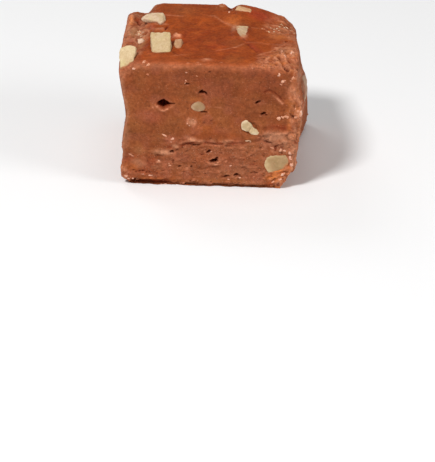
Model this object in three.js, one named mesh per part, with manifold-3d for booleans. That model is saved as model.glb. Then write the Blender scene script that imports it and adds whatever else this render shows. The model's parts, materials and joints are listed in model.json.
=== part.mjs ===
// A hand-cut square of chocolate fudge with chopped walnuts set in it.
// Millimetres. +X right along the front face, +Y away from the front face, +Z up,
// the origin in the middle of the underside.
import * as THREE from 'three';
import { mergeVertices } from 'three/addons/utils/BufferGeometryUtils.js';
import { ConvexGeometry } from 'three/addons/geometries/ConvexGeometry.js';
import Module from 'manifold-3d';

const wasm = await Module();
wasm.setup();

// ---- driving sizes ---------------------------------------------------------
const WIDTH = 44;            // across the front face
const DEPTH = 44;            // front face to back face
const HEIGHT = 33;           // slab thickness
const R_TOP = 1.5;           // rounding where the poured skin turns down
const R_BOTTOM = 0.7;        // rounding of the knife-cut lower edges
const CELLS_XY = 22;         // grid on each face
const CELLS_Z = 17;
const CLUSTER = 0.55;        // how far the grid lines crowd to the edges
const WAIST = 1.35;          // how far the left face draws in at mid height
const LEFT_LEAN = 3.0;       // how far the left face swings out towards the back
const FLARE = 1.05;          // how far the front right edge stands out at its widest
const CUT = 3.6;             // how much of its foot is broken away
const BACK_BELLY = 2.9;      // right face at the back: foot minus shoulder
const BULGE = 1.3;           // swelling of the right face, upper part
const HOLLOW = 1.6;          // and its hollow near the foot
const STRIP_DROP = 1.7;      // sunken strip along the left edge of the top
const SHOULDER_DROP = 3.6;   // slump of the top at the back right corner
const CORNER_DROP = 2.4;     // and its further fall at the very corner
const STEP = 0.45;           // the lower third of the front lies back by this
const SLACK = 0.12;          // gap between a nut and its pocket
const SHIFT = 0.07;          // brings the middle of the whole over the origin
const PROUD = 1.004;         // sliced nuts stand this ratio above the cut face

// ---- small helpers ---------------------------------------------------------
const clamp = (v, a, b) => Math.min(b, Math.max(a, v));
const lerp = (a, b, t) => a + (b - a) * t;
const smooth = (a, b, v) => { const t = clamp((v - a) / (b - a), 0, 1); return t * t * (3 - 2 * t); };
const bell = (v, c, w) => Math.exp(-(((v - c) / w) ** 2));
const rad = THREE.MathUtils.degToRad;
const random = (seed) => { let s = seed >>> 0; return () => { s = (Math.imul(s, 1664525) + 1013904223) >>> 0; return s / 4294967296; }; };

function solidOf(geometry) {
  const bare = geometry.index ? geometry.clone() : geometry;
  for (const name of Object.keys(bare.attributes)) if (name !== 'position') bare.deleteAttribute(name);
  const merged = mergeVertices(bare, 1e-4);
  return new wasm.Manifold(new wasm.Mesh({
    numProp: 3,
    vertProperties: new Float32Array(merged.attributes.position.array),
    triVerts: new Uint32Array(merged.index.array),
  }));
}

function geometryOf(solid) {
  const mesh = solid.getMesh();
  const geometry = new THREE.BufferGeometry();
  geometry.setAttribute('position', new THREE.BufferAttribute(new Float32Array(mesh.vertProperties), 3));
  geometry.setIndex(new THREE.BufferAttribute(new Uint32Array(mesh.triVerts), 1));
  geometry.computeVertexNormals();
  return geometry;
}

// ---- the form of the square ------------------------------------------------
const leftEdge = (y, z) => -WIDTH / 2 + 0.1 + WAIST * bell(z, 19.5, 6.5)
  - LEFT_LEAN * clamp((y + DEPTH / 2) / DEPTH, 0, 1) ** 0.7 * (0.3 + 0.7 * z / HEIGHT);

function rightEdge(y, z) {
  const front = 22.6 + FLARE * bell(z, 20.5, 6.5) - CUT * (1 - clamp(z / 5.4, 0, 1) ** 1.6);
  const back = 23.05 - BACK_BELLY * smooth(8, 27, z) - 0.4 * bell(z, 0, 2);
  return lerp(front, back, smooth(0, 1, (y + DEPTH / 2) / DEPTH))
    + BULGE * bell(z, 23.3, 7.3) * bell(y, -8.5, 9) - HOLLOW * bell(z, 5, 6) * bell(y, -8, 9);
}

function topLevel(x, y) {
  const t = (y + DEPTH / 2) / DEPTH;
  const strip = lerp(0.8, STRIP_DROP * 1.35, t) * (1 - smooth(-20, -16.6, x));
  const lump = 0.9 * bell(x, -22.6, 1.3) * bell(y, 15, 5);
  const shoulder = SHOULDER_DROP * smooth(5, 22, x) * smooth(-10, 20, y) + CORNER_DROP * smooth(16, 21.5, x) * smooth(4, 22, y);
  const swell = 0.6 * smooth(2, 20, y) * smooth(-18, -15, x);
  const nick = 1.2 * bell(x, 2.6, 1.3) * smooth(18.5, 22, y);
  const corner = 1.1 * bell(x, -22, 3) * bell(y, -22, 4) + 0.7 * bell(x, 22, 4) * bell(y, -20, 5);
  return HEIGHT - strip + lump - shoulder + swell - nick - corner;
}

// the smooth upper part of the front face hangs over the torn lower part
const stepLevel = (x) => 12.2 + 3.2 * smooth(8, 18, x) + 0.4 * Math.sin(x * 0.9);

function shape(p) {
  const r = lerp(R_BOTTOM, R_TOP, clamp(p.z / HEIGHT, 0, 1));
  const core = new THREE.Vector3(
    clamp(p.x, -WIDTH / 2 + r, WIDTH / 2 - r),
    clamp(p.y, -DEPTH / 2 + r, DEPTH / 2 - r),
    clamp(p.z, r, HEIGHT - r));
  const out = p.clone().sub(core);
  if (out.length() > 0) p.copy(core).addScaledVector(out.normalize(), r);

  const z0 = p.z;
  const u = (p.x + WIDTH / 2) / WIDTH;
  const front = 1 - smooth(-DEPTH / 2, -DEPTH / 2 + 6, p.y);
  const lean = lerp(leftEdge(p.y, z0), rightEdge(p.y, z0), u);
  const z = z0 * topLevel(lean, p.y) / HEIGHT;
  const set = STEP * smooth(-8, -3, lean) * smooth(stepLevel(lean) + 0.5, stepLevel(lean) - 0.7, z) * smooth(0.5, 4, z);
  const away = p.y > 0 ? 0.35 * Math.sin(lean * 0.17 + 1) * Math.sin(z0 * 0.21) * smooth(8, 22, p.y) : 0;
  return p.set(lean, p.y + set * front + away, z);
}

function square() {
  const box = new THREE.BoxGeometry(WIDTH, DEPTH, HEIGHT, CELLS_XY, CELLS_XY, CELLS_Z);
  box.translate(0, 0, HEIGHT / 2);
  const at = box.attributes.position;
  const p = new THREE.Vector3();
  const crowd = (v, size) => { const t = v / size; return size * (t - CLUSTER * Math.sin(2 * Math.PI * t) / (2 * Math.PI)); };
  for (let i = 0; i < at.count; i += 1) {
    p.fromBufferAttribute(at, i);
    p.x = crowd(p.x + WIDTH / 2, WIDTH) - WIDTH / 2;
    p.y = crowd(p.y + DEPTH / 2, DEPTH) - DEPTH / 2;
    p.z = crowd(p.z, HEIGHT);
    shape(p);
    at.setXYZ(i, p.x, p.y, p.z);
  }
  return solidOf(box);
}

// ---- chopped walnut --------------------------------------------------------
// A chunk is the hull of a box's corners, edges and faces, pulled towards an
// ellipsoid, each point knocked a little, and narrowed towards one end.
function chunk({ size, seed, round = 0.5, narrow = [0, 0, 0], knock = 0.13, turn = [0, 0, 0], at }, grow = 0) {
  const next = random(seed * 7919 + 13);
  for (let k = 0; k < 5; k += 1) next();
  const points = [];
  for (let i = -1; i <= 1; i += 1) for (let j = -1; j <= 1; j += 1) for (let k = -1; k <= 1; k += 1) {
    if (!i && !j && !k) continue;
    const v = new THREE.Vector3(i, j, k);
    const ball = v.clone().normalize();
    v.lerp(ball, round);
    v.x += (next() - 0.5) * 2 * knock;
    v.y += (next() - 0.5) * 2 * knock;
    v.z += (next() - 0.5) * 2 * knock;
    v.y *= 1 - narrow[0] * (v.x + 1) / 2;
    v.z *= 1 - narrow[2] * (v.x + 1) / 2;
    v.x *= 1 - narrow[1] * (v.y + 1) / 2;
    points.push(v.multiply(new THREE.Vector3(size[0] / 2 + grow, size[1] / 2 + grow, size[2] / 2 + grow)));
  }
  const hull = new ConvexGeometry(points);
  hull.applyMatrix4(new THREE.Matrix4().makeRotationFromEuler(new THREE.Euler(rad(turn[0]), rad(turn[1]), rad(turn[2]), 'ZYX')));
  hull.translate(at[0], at[1], at[2]);
  return solidOf(hull);
}

// size along X, Y, Z before turning; sliced ones are cut level with the face they show on
const WALNUTS = {
  // on the top, standing out of the skin
  nut_top_square: { size: [4.68, 7.55, 4.25], seed: 315, round: 0.21, narrow: [0.01, -0.14, -0.2], knock: 0.08, turn: [27.33, 1.05, 6.44], at: [-12.57, -10.97, 33.09] },
  nut_top_corner: { size: [3.12, 6.66, 4.5], seed: 349, round: 0.41, narrow: [-0.37, -0.4, 0.33], knock: 0.1, turn: [37.94, -2.83, -2.38], at: [-20.3, -17.92, 31.73] },
  nut_top_wedge: { size: [6.63, 2.05, 1.63], seed: 258, round: 0.52, narrow: [-1.74, 0.1, -0.15], knock: 0.1, turn: [15.22, -0.1, -3.28], at: [-16.51, 8.55, 33.62] },
  nut_top_small: { size: [1.67, 2.24, 2.03], seed: 157, round: 0.63, narrow: [0.04, -0.1, 0.25], turn: [19.69, -20.66, 7.41], at: [-18.08, -6.68, 32.62] },
  nut_top_sliver: { size: [1.89, 4.24, 2.5], seed: 398, round: 0.5, narrow: [-0.08, -0.23, -0.03], turn: [23.77, 5.91, 0.11], at: [-8.49, -9.41, 32.73] },
  nut_top_veiled: { size: [1.53, 7.98, 3.15], seed: 33, round: 0.54, narrow: [-0.16, -1.79, -0.02], knock: 0.1, turn: [2.76, 2.72, 7.02], at: [7.16, 1.44, 32.49] },
  nut_top_back: { size: [4.39, 2.96, 2.62], seed: 4, round: 0.17, narrow: [-0.04, 0.25, 0.15], turn: [-4.44, 7.18, -3.5], at: [6.23, 17.08, 32.84] },
  nut_top_back_small: { size: [1.58, 2.1, 1.58], seed: 253, round: 0.62, narrow: [-0.15, -0.03, 0.07], turn: [-0.58, 7.98, 23.04], at: [0.36, 19.31, 33.26] },
  nut_top_edge: { size: [1.75, 2.59, 2.23], seed: 43, round: 0.5, narrow: [0.59, 0.11, 0.23], turn: [12.25, 25.52, 11.06], at: [20.94, -13.15, 32.17] },
  // sliced by the knife on the front face
  nut_front_diagonal: { size: [5.5, 3.9, 3.52], seed: 291, round: 0.56, narrow: [-0.05, -0.38, 0.62], turn: [-0.56, 34.2, 6.43], at: [10.95, -20.73, 16.04], sliced: true },
  nut_front_right: { size: [6.11, 4.85, 4.85], seed: 258, round: 0.26, narrow: [-0.22, 0.07, 0.19], turn: [-5.97, -15.9, 2], at: [17.46, -19.43, 6.63], sliced: true },
  nut_front_oval: { size: [3.52, 4.25, 2.52], seed: 130, round: 0.74, narrow: [0.09, -0.21, -0.06], turn: [2.18, 2.76, 8.14], at: [-2.29, -22.04, 21.65], sliced: true },
  // on the right face, which broke more than it was cut
  nut_right_tall: { size: [4.5, 9.6, 6.8], seed: 68, round: 0.35, turn: [5, 0, 0], at: [22.3, -14.2, 24.5] },
  nut_right_low: { size: [4.0, 5.2, 4.6], seed: 74, round: 0.4, turn: [20, 0, 0], at: [19.9, -5.0, 7.6] },
  nut_right_high: { size: [3.8, 5.0, 3.8], seed: 79, round: 0.45, turn: [-25, 0, 0], at: [19.9, 9.4, 20.6] },
  // sliced on the back face
  nut_back_high: { size: [5.6, 4.4, 4.0], seed: 83, round: 0.4, turn: [0, 20, 0], at: [-9.5, 20.6, 22.5], sliced: true },
  nut_back_low: { size: [6.2, 4.8, 4.4], seed: 88, round: 0.35, turn: [0, -25, 0], at: [9.8, 20.2, 8.8], sliced: true },
  nut_back_small: { size: [3.2, 3.4, 2.6], seed: 94, round: 0.5, turn: [0, 12, 0], at: [12.6, 20.9, 20.6], sliced: true },
  // sliced on the left face
  nut_left_low: { size: [4.6, 6.0, 4.4], seed: 97, round: 0.4, turn: [14, 0, 0], at: [-21.4, 6.2, 10.2], sliced: true },
  nut_left_high: { size: [4.0, 4.2, 3.2], seed: 103, round: 0.5, turn: [-20, 0, 0], at: [-20.9, -9.0, 23.4], sliced: true },
};

// ---- air pockets opened by the knife: centre, half sizes, turn -------------
const AIR = [
  { at: [-10.9, -22, 22.2], half: [2.1, 3.4, 1.15], turn: -2, sides: 4 },
  { at: [-1.1, -22, 25.5], half: [1.2, 1.8, 0.6], turn: 14, sides: 6 },
  { at: [1.85, -21.6, 6.9], half: [1.15, 1.9, 0.75], turn: 6, sides: 5 },
  { at: [7.3, -21.7, 3.25], half: [1.3, 1.4, 0.4], turn: 6, sides: 6 },
  { at: [12.7, -22, 23.4], half: [0.8, 1.2, 0.45], turn: -38, sides: 6 },
  { at: [14.35, -22, 20.3], half: [0.9, 1.0, 0.45], turn: 20, sides: 6 },
];

function pocket({ at, half, turn, sides }) {
  const form = new THREE.SphereGeometry(1, sides * 2, 6);
  form.rotateX(Math.PI / 2);
  const solid = new THREE.BufferGeometry().copy(form);
  const points = solid.attributes.position;
  for (let i = 0; i < points.count; i += 1) {
    const x = points.getX(i), z = points.getZ(i);
    const pinch = sides === 4 ? 1 / Math.max(Math.abs(x) + Math.abs(z), Math.hypot(x, z), 1e-6) * Math.hypot(x, z) : 1;
    points.setXYZ(i, x * pinch, points.getY(i), z * pinch);
  }
  solid.scale(half[0], half[1], half[2]);
  solid.rotateY(rad(turn));
  solid.translate(at[0], at[1], at[2]);
  return solidOf(solid);
}

// ---- assembly --------------------------------------------------------------
const fudge = new THREE.MeshStandardMaterial({ color: 0x95532f, roughness: 0.5, metalness: 0 });
const walnut = new THREE.MeshStandardMaterial({ color: 0xdcbf95, roughness: 0.6, metalness: 0 });

const part = new THREE.Group();
part.name = 'chocolate_fudge_square';
part.position.x = SHIFT;

let body = square();
const knife = body.translate(0, 0, -HEIGHT / 2).scale([PROUD, PROUD, PROUD]).translate(0, 0, HEIGHT / 2);
for (const [name, nut] of Object.entries(WALNUTS)) {
  body = body.subtract(chunk(nut, SLACK));
  let piece = chunk(nut);
  if (nut.sliced) piece = piece.intersect(knife);
  const mesh = new THREE.Mesh(geometryOf(piece), walnut.clone());
  mesh.name = name;
  part.add(mesh);
}
for (const air of AIR) body = body.subtract(pocket(air));
const block = new THREE.Mesh(geometryOf(body), fudge);
block.name = 'fudge_block';
part.add(block);

export default part;
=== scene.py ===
"""Looks for the chocolate fudge square. Lengths are worked out in millimetres and written in metres."""
import sys
import bpy, json, math
import numpy as np
from mathutils import Vector, Matrix
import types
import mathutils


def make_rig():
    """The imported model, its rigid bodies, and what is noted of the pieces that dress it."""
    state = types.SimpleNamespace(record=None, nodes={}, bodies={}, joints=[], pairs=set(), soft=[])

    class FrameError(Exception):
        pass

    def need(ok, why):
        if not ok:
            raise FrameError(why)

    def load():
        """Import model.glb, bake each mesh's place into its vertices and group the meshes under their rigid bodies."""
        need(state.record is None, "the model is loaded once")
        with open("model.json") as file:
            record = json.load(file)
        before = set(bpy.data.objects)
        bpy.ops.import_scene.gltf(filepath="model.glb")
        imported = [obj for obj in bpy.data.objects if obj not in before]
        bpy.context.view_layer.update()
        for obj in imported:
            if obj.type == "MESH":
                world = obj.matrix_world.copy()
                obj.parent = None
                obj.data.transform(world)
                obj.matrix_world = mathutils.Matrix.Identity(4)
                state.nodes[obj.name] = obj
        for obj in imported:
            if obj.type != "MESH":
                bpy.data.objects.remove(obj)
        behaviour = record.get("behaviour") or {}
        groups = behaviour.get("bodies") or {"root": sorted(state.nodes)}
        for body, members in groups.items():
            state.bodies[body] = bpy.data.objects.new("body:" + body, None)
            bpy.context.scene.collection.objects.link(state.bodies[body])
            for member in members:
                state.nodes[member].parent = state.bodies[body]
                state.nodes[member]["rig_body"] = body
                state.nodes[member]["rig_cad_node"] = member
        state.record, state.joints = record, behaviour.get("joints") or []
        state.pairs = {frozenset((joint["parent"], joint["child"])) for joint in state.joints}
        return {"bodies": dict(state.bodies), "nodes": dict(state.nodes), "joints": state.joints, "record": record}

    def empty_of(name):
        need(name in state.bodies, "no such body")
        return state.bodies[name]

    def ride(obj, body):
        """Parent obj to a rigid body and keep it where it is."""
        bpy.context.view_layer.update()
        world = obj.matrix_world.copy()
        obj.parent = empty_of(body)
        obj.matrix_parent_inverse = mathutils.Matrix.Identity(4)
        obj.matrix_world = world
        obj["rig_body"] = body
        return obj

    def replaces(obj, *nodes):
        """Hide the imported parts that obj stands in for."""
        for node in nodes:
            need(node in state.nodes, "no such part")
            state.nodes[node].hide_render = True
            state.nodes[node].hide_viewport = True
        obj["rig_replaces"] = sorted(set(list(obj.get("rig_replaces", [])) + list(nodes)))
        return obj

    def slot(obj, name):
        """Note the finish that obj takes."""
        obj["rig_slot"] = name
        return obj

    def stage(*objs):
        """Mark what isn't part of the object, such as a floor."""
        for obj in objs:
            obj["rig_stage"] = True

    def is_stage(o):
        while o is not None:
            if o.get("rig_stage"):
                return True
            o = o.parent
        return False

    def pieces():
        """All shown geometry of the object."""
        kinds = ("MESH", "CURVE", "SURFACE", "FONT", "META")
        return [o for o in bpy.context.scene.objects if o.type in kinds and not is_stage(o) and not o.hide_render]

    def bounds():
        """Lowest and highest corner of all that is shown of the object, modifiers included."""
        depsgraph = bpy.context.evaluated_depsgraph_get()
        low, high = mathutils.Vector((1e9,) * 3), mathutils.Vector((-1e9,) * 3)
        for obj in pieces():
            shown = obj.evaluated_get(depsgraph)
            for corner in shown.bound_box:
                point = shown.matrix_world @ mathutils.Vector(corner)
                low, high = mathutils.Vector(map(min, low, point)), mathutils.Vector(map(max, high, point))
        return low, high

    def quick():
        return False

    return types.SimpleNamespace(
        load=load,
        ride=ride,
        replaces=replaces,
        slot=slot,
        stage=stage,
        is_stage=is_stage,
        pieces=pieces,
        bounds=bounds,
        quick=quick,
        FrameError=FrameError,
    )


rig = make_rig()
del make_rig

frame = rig.load()
CAD_BOX = [list(v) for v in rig.bounds()]

# ---------------------------------------------------------------- sizes shared with the CAD, in mm
W, D, H = 44.0, 44.0, 33.0
R_TOP, R_BOTTOM = 1.5, 0.7
WAIST, LEFT_LEAN, BACK_BELLY = 1.35, 3.0, 2.9
FLARE, CUT, BULGE, HOLLOW = 1.05, 3.6, 1.3, 1.6
STRIP_DROP, SHOULDER_DROP, CORNER_DROP, STEP = 1.7, 3.6, 2.4, 0.45
SHIFT = 0.07


def sm(a, b, v):
    t = np.clip((v - a) / (b - a), 0.0, 1.0)
    return t * t * (3 - 2 * t)


def bell(v, c, w):
    return np.exp(-(((v - c) / w) ** 2))


def lerp(a, b, t):
    return a + (b - a) * t


# ---------------------------------------------------------------- seeded noise on points in mm
def hash01(ix, iy, iz, seed):
    m = np.int64(0xFFFFFFFF)
    h = (ix * np.int64(374761393) + iy * np.int64(668265263) + iz * np.int64(1440662683) + np.int64(seed) * np.int64(974634777)) & m
    h = ((h ^ (h >> 13)) * np.int64(1274126177)) & m
    h = ((h ^ (h >> 15)) * np.int64(668265263)) & m
    return ((h ^ (h >> 16)) & m) / 4294967295.0


def noise(p, scale, seed):
    """Smooth value noise in -1..1; scale is the size of a blob in mm, one number or one for each axis."""
    q = p / np.asarray(scale, float)
    i = np.floor(q).astype(np.int64)
    f = q - i
    f = f * f * f * (f * (f * 6 - 15) + 10)
    out = 0.0
    for a in (0, 1):
        wa = f[:, 0] if a else 1 - f[:, 0]
        for b in (0, 1):
            wb = f[:, 1] if b else 1 - f[:, 1]
            for c in (0, 1):
                wc = f[:, 2] if c else 1 - f[:, 2]
                out = out + wa * wb * wc * hash01(i[:, 0] + a, i[:, 1] + b, i[:, 2] + c, seed)
    return out * 2 - 1


def fbm(p, scale, seed, octaves=4, gain=0.5):
    s = np.asarray(scale, float)
    out, amp, total = 0.0, 1.0, 0.0
    for o in range(octaves):
        out = out + amp * noise(p + 17.3 * o, s, seed + 31 * o)
        total += amp
        amp *= gain
        s = s / 2.03
    return out / total


def cells(p, scale, seed, keep=1.0):
    """Distance to the nearest scattered point, in units of scale, and that point's own random number."""
    q = p / np.asarray(scale, float)
    i = np.floor(q).astype(np.int64)
    best = np.full(len(p), 9.0)
    tag = np.zeros(len(p))
    for a in (-1, 0, 1):
        for b in (-1, 0, 1):
            for c in (-1, 0, 1):
                j = i + np.array([a, b, c])
                r = [hash01(j[:, 0], j[:, 1], j[:, 2], seed + k) for k in range(4)]
                d = np.sqrt((j[:, 0] + r[0] - q[:, 0]) ** 2 + (j[:, 1] + r[1] - q[:, 1]) ** 2 + (j[:, 2] + r[2] - q[:, 2]) ** 2)
                d = np.where(r[3] < keep, d, 9.0)
                m = d < best
                best = np.where(m, d, best)
                tag = np.where(m, r[3] / keep, tag)
    return best, tag


# ---------------------------------------------------------------- the form of the square, as in the CAD
def left_edge(y, z):
    return -W / 2 + 0.1 + WAIST * bell(z, 19.5, 6.5) - LEFT_LEAN * np.clip((y + D / 2) / D, 0, 1) ** 0.7 * (0.3 + 0.7 * z / H)


def right_edge(y, z):
    slope = np.clip(z / 5.4, 0, 6) ** 1.6
    slope = lerp(np.minimum(slope, 1), -np.log(np.exp(-6 * slope) + math.exp(-6)) / 6, sm(-21.5, -18.5, y))   # the cut softens behind the arris
    front = 22.6 + FLARE * bell(z, 20.5, 6.5) - CUT * (1 - slope)
    back = 23.05 - BACK_BELLY * sm(8, 27, z) - 0.4 * bell(z, 0, 2)
    return lerp(front, back, sm(0, 1, (y + D / 2) / D)) + BULGE * bell(z, 23.3, 7.3) * bell(y, -8.5, 9) - HOLLOW * bell(z, 5, 6) * bell(y, -8, 9)


def top_level(x, y):
    t = (y + D / 2) / D
    strip = lerp(0.8, STRIP_DROP * 1.35, t) * (1 - sm(-20, -16.6, x))
    lump = 0.9 * bell(x, -22.6, 1.3) * bell(y, 15, 5)
    shoulder = SHOULDER_DROP * sm(5, 22, x) * sm(-10, 20, y) + CORNER_DROP * sm(16, 21.5, x) * sm(4, 22, y)
    swell = 0.6 * sm(2, 20, y) * sm(-18, -15, x)
    nick = 1.2 * bell(x, 2.6, 1.3) * sm(18.5, 22, y)
    corner = 1.1 * bell(x, -22, 3) * bell(y, -22, 4) + 0.7 * bell(x, 22, 4) * bell(y, -20, 5)
    return H - strip + lump - shoulder + swell - nick - corner


def step_level(x):
    return 12.2 + 3.2 * sm(8, 18, x) + 0.4 * np.sin(x * 0.9)


def base_form(p):
    r = lerp(R_BOTTOM, R_TOP, np.clip(p[:, 2] / H, 0, 1))
    core = np.stack([np.clip(p[:, 0], -W / 2 + r, W / 2 - r), np.clip(p[:, 1], -D / 2 + r, D / 2 - r), np.clip(p[:, 2], r, H - r)], 1)
    out = p - core
    n = np.linalg.norm(out, axis=1)
    p = np.where(n[:, None] > 0, core + out / np.maximum(n, 1e-9)[:, None] * r[:, None], p)
    u = (p[:, 0] + W / 2) / W
    y, z0 = p[:, 1], p[:, 2]
    x = lerp(left_edge(y, z0), right_edge(y, z0), u)
    z = z0 * top_level(x, y) / H
    away = np.where(y > 0, 0.35 * np.sin(x * 0.17 + 1) * np.sin(z0 * 0.21) * sm(8, 22, y), 0.0)
    return np.stack([x, y + away, z], 1)


def lines(n, lo, hi, crowd_lo, crowd_hi):
    """n+1 grid lines from lo to hi, closer together at the ends by the given ratios."""
    t = (np.arange(n) + 0.5) / n
    w = 1 - crowd_lo * bell(t, 0, 0.06) - crowd_hi * bell(t, 1, 0.06)
    c = np.concatenate([[0], np.cumsum(w)])
    return lo + (hi - lo) * c / c[-1]


# ---------------------------------------------------------------- mesh of the block
NX, NY, NZ = (168, 140, 120)
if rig.quick():
    NX, NY, NZ = (120, 100, 88)
gx = lines(NX, -W / 2, W / 2, 0.45, 0.45)
gy = lines(NY, -D / 2, D / 2, 0.55, 0.3)
gz = lines(NZ, 0, H, 0.25, 0.45)

index = np.full((NX + 1, NY + 1, NZ + 1), -1, np.int32)
shell = np.zeros(index.shape, bool)
shell[0], shell[-1], shell[:, 0], shell[:, -1], shell[:, :, -1] = True, True, True, True, True
shell[1:-1, 1:-1, 0] = False
ijk = np.argwhere(shell)
index[shell] = np.arange(len(ijk))
grid = np.stack([gx[ijk[:, 0]], gy[ijk[:, 1]], gz[ijk[:, 2]]], 1)


def quads(a, flip):
    q = np.stack([a[:-1, :-1], a[1:, :-1], a[1:, 1:], a[:-1, 1:]], -1).reshape(-1, 4)
    return q[:, ::-1] if flip else q


SIDES = {
    "front": quads(index[:, 0, :], False), "back": quads(index[:, -1, :], True),
    "left": quads(index[0], True), "right": quads(index[-1], False),
    "top": quads(index[:, :, -1], False),
}
rim = np.concatenate([index[:-1, 0, 0], index[-1, :-1, 0], index[:0:-1, -1, 0], index[0, :0:-1, 0]])
quad = np.concatenate(list(SIDES.values()))
quad_side = np.concatenate([np.full(len(v), k) for k, v in enumerate(SIDES.values())])


def vertex_normals(v):
    a, b, c, d = (v[quad[:, k]] for k in range(4))
    n = np.cross(c - a, d - b)
    out = np.zeros_like(v)
    for k in range(4):
        np.add.at(out, quad[:, k], n)
    out[ijk[:, 2] == 0, 2] -= 0.05
    return out / np.maximum(np.linalg.norm(out, axis=1), 1e-12)[:, None]


edges = np.unique(np.sort(np.concatenate([quad[:, [0, 1]], quad[:, [1, 2]], quad[:, [2, 3]], quad[:, [3, 0]]]), axis=1), axis=0)
degree = np.bincount(edges.ravel(), minlength=len(grid)).astype(float)


def blur(v, times):
    v = v.copy()
    for _ in range(times):
        s = np.bincount(edges[:, 0], v[edges[:, 1]], len(v)) + np.bincount(edges[:, 1], v[edges[:, 0]], len(v))
        v = 0.5 * v + 0.5 * s / degree
    return v


P = base_form(grid)
Nn = vertex_normals(P)
X, Y, Z = P.T
near = np.sort(np.stack([W / 2 - np.abs(grid[:, 0]), D / 2 - np.abs(grid[:, 1]), np.minimum(grid[:, 2], H - grid[:, 2])], 1), axis=1)[:, 1]
EDGE = np.exp(-near / 1.1)                       # 1 on the arris, falling off over a millimetre or so
FRONT, BACK = sm(0.55, 0.85, -Nn[:, 1]), sm(0.55, 0.85, Nn[:, 1])
LEFT, RIGHT = sm(0.55, 0.85, -Nn[:, 0]), sm(0.55, 0.85, Nn[:, 0])
TOP = sm(0.45, 0.85, Nn[:, 2])
SIDE = np.clip(1 - TOP, 0, 1)
LOW = sm(1.6, 0.0, Z)
ZERO = np.zeros(len(P))

h = ZERO.copy()        # height along the normal, mm
dark = ZERO.copy()     # painted shade inside holes, tears, creases and grooves and under overhangs, and a few broad darker patches
pale = ZERO.copy()     # scuffed, crumbly, whiter fudge, and painted highlight on lips, crests and raised grains
torn = ZERO.copy()     # broken rather than cut
orange = ZERO.copy()   # translucent, more orange fudge
red = ZERO.copy()      # redder fudge
oily = ZERO.copy()     # greyish green-beige, where nut lies close under the surface
deep = ZERO.copy()     # the darker, redder cut of the upper part
grain = ZERO.copy()    # granular, pinker fudge
beige = ZERO.copy()    # pale greyish pink
amber = ZERO.copy()    # bright, clear orange
olive = ZERO.copy()    # yellowish brown
mauve = ZERO.copy()    # dusky pink
extra = np.zeros_like(P)       # sideways moves

# --- large, soft unevenness everywhere
h += 0.16 * fbm(P, 11, 3, 3) * (1 - LOW)
h += 0.06 * fbm(P, 3.1, 5, 3) * (1 - LOW)


def turned(a, b, ca, cb, deg):
    s, c = math.sin(math.radians(deg)), math.cos(math.radians(deg))
    return (a - ca) * c + (b - cb) * s, -(a - ca) * s + (b - cb) * c


def pit(mask, a, b, ca, cb, ra, rb, deg, depth, kind=0.0, wob=0.22, lip=0.35, seed=1, shade=None):
    """A hole in a face whose in-plane coordinates are a and b. kind 0 is an ellipse, 1 a diamond. Its inside is painted
    dark as shade, the deeper the darker unless shade is given, and its lip pale as painted highlight, most on its lower
    side.
    """
    global h, dark, pale
    k = np.flatnonzero((np.abs(a - ca) + np.abs(b - cb) < 3.2 * (ra + rb)) & (mask > 0.001))
    if not len(k):
        return
    u, v = turned(a[k], b[k], ca, cb, deg)
    u, v = u / ra, v / rb
    d = lerp(np.hypot(u, v), np.abs(u) + np.abs(v), kind)
    d = d + wob * noise(P[k], 0.7, seed + 101) + 0.5 * wob * noise(P[k], 0.35, seed + 102)
    m = mask[k]
    inside = sm(1.15, 0.45, d)
    h[k] -= m * depth * inside
    # painted shade inside the hole
    full = min(0.95, 0.16 + depth / 2.8) if shade is None else shade
    dark[k] = np.maximum(dark[k], m * sm(1.1, 0.62, d) * full)
    # painted highlight on the lip, stronger on its lower side where the light falls
    rimline = bell(d, 1.34, 0.28)
    under = 0.45 + 0.55 * np.clip(-v, -1, 1)
    lump = 0.75 + 0.5 * noise(P[k], 0.5, seed + 103)
    h[k] += m * lip * min(depth, 1.2) * 0.3 * rimline * under * lump
    pale[k] = np.maximum(pale[k], m * lip * rimline * under * lump)


def lump(mask, a, b, ca, cb, ra, rb, deg, height, tint=0.0, seed=1, power=2.0):
    """A soft lump on a face, paler by tint."""
    global h, pale
    u, v = turned(a, b, ca, cb, deg)
    d = np.hypot(u / ra, v / rb)
    g = mask * np.exp(-(d ** power)) * (1 + 0.3 * noise(P, 0.8, seed))
    h += height * g
    pale = np.maximum(pale, tint * np.clip(g, 0, 1))
    return np.clip(g, 0, 1)


def stroke(mask, a, b, points, width, height, ragged=0.0, seed=7, gap=0.0):
    """A ridge (height > 0) or crease (< 0) along a chain of points; returns how near each vertex is to it."""
    global h
    best = np.full(len(P), 99.0)
    for (a0, b0), (a1, b1) in zip(points[:-1], points[1:]):
        da, db = a1 - a0, b1 - b0
        t = np.clip(((a - a0) * da + (b - b0) * db) / (da * da + db * db), 0, 1)
        best = np.minimum(best, np.hypot(a - a0 - t * da, b - b0 - t * db))
    if ragged:
        best = np.abs(best + ragged * noise(P, 1.3, seed))
    k = np.exp(-((best / width) ** 2)) * mask
    if gap:
        k = k * sm(-gap, 0.25, noise(P, 2.6, seed + 1) + 0.2)
    h += height * k
    return k


def raise_to(name, values):
    g = globals()
    g[name] = np.maximum(g[name], values)


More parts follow.
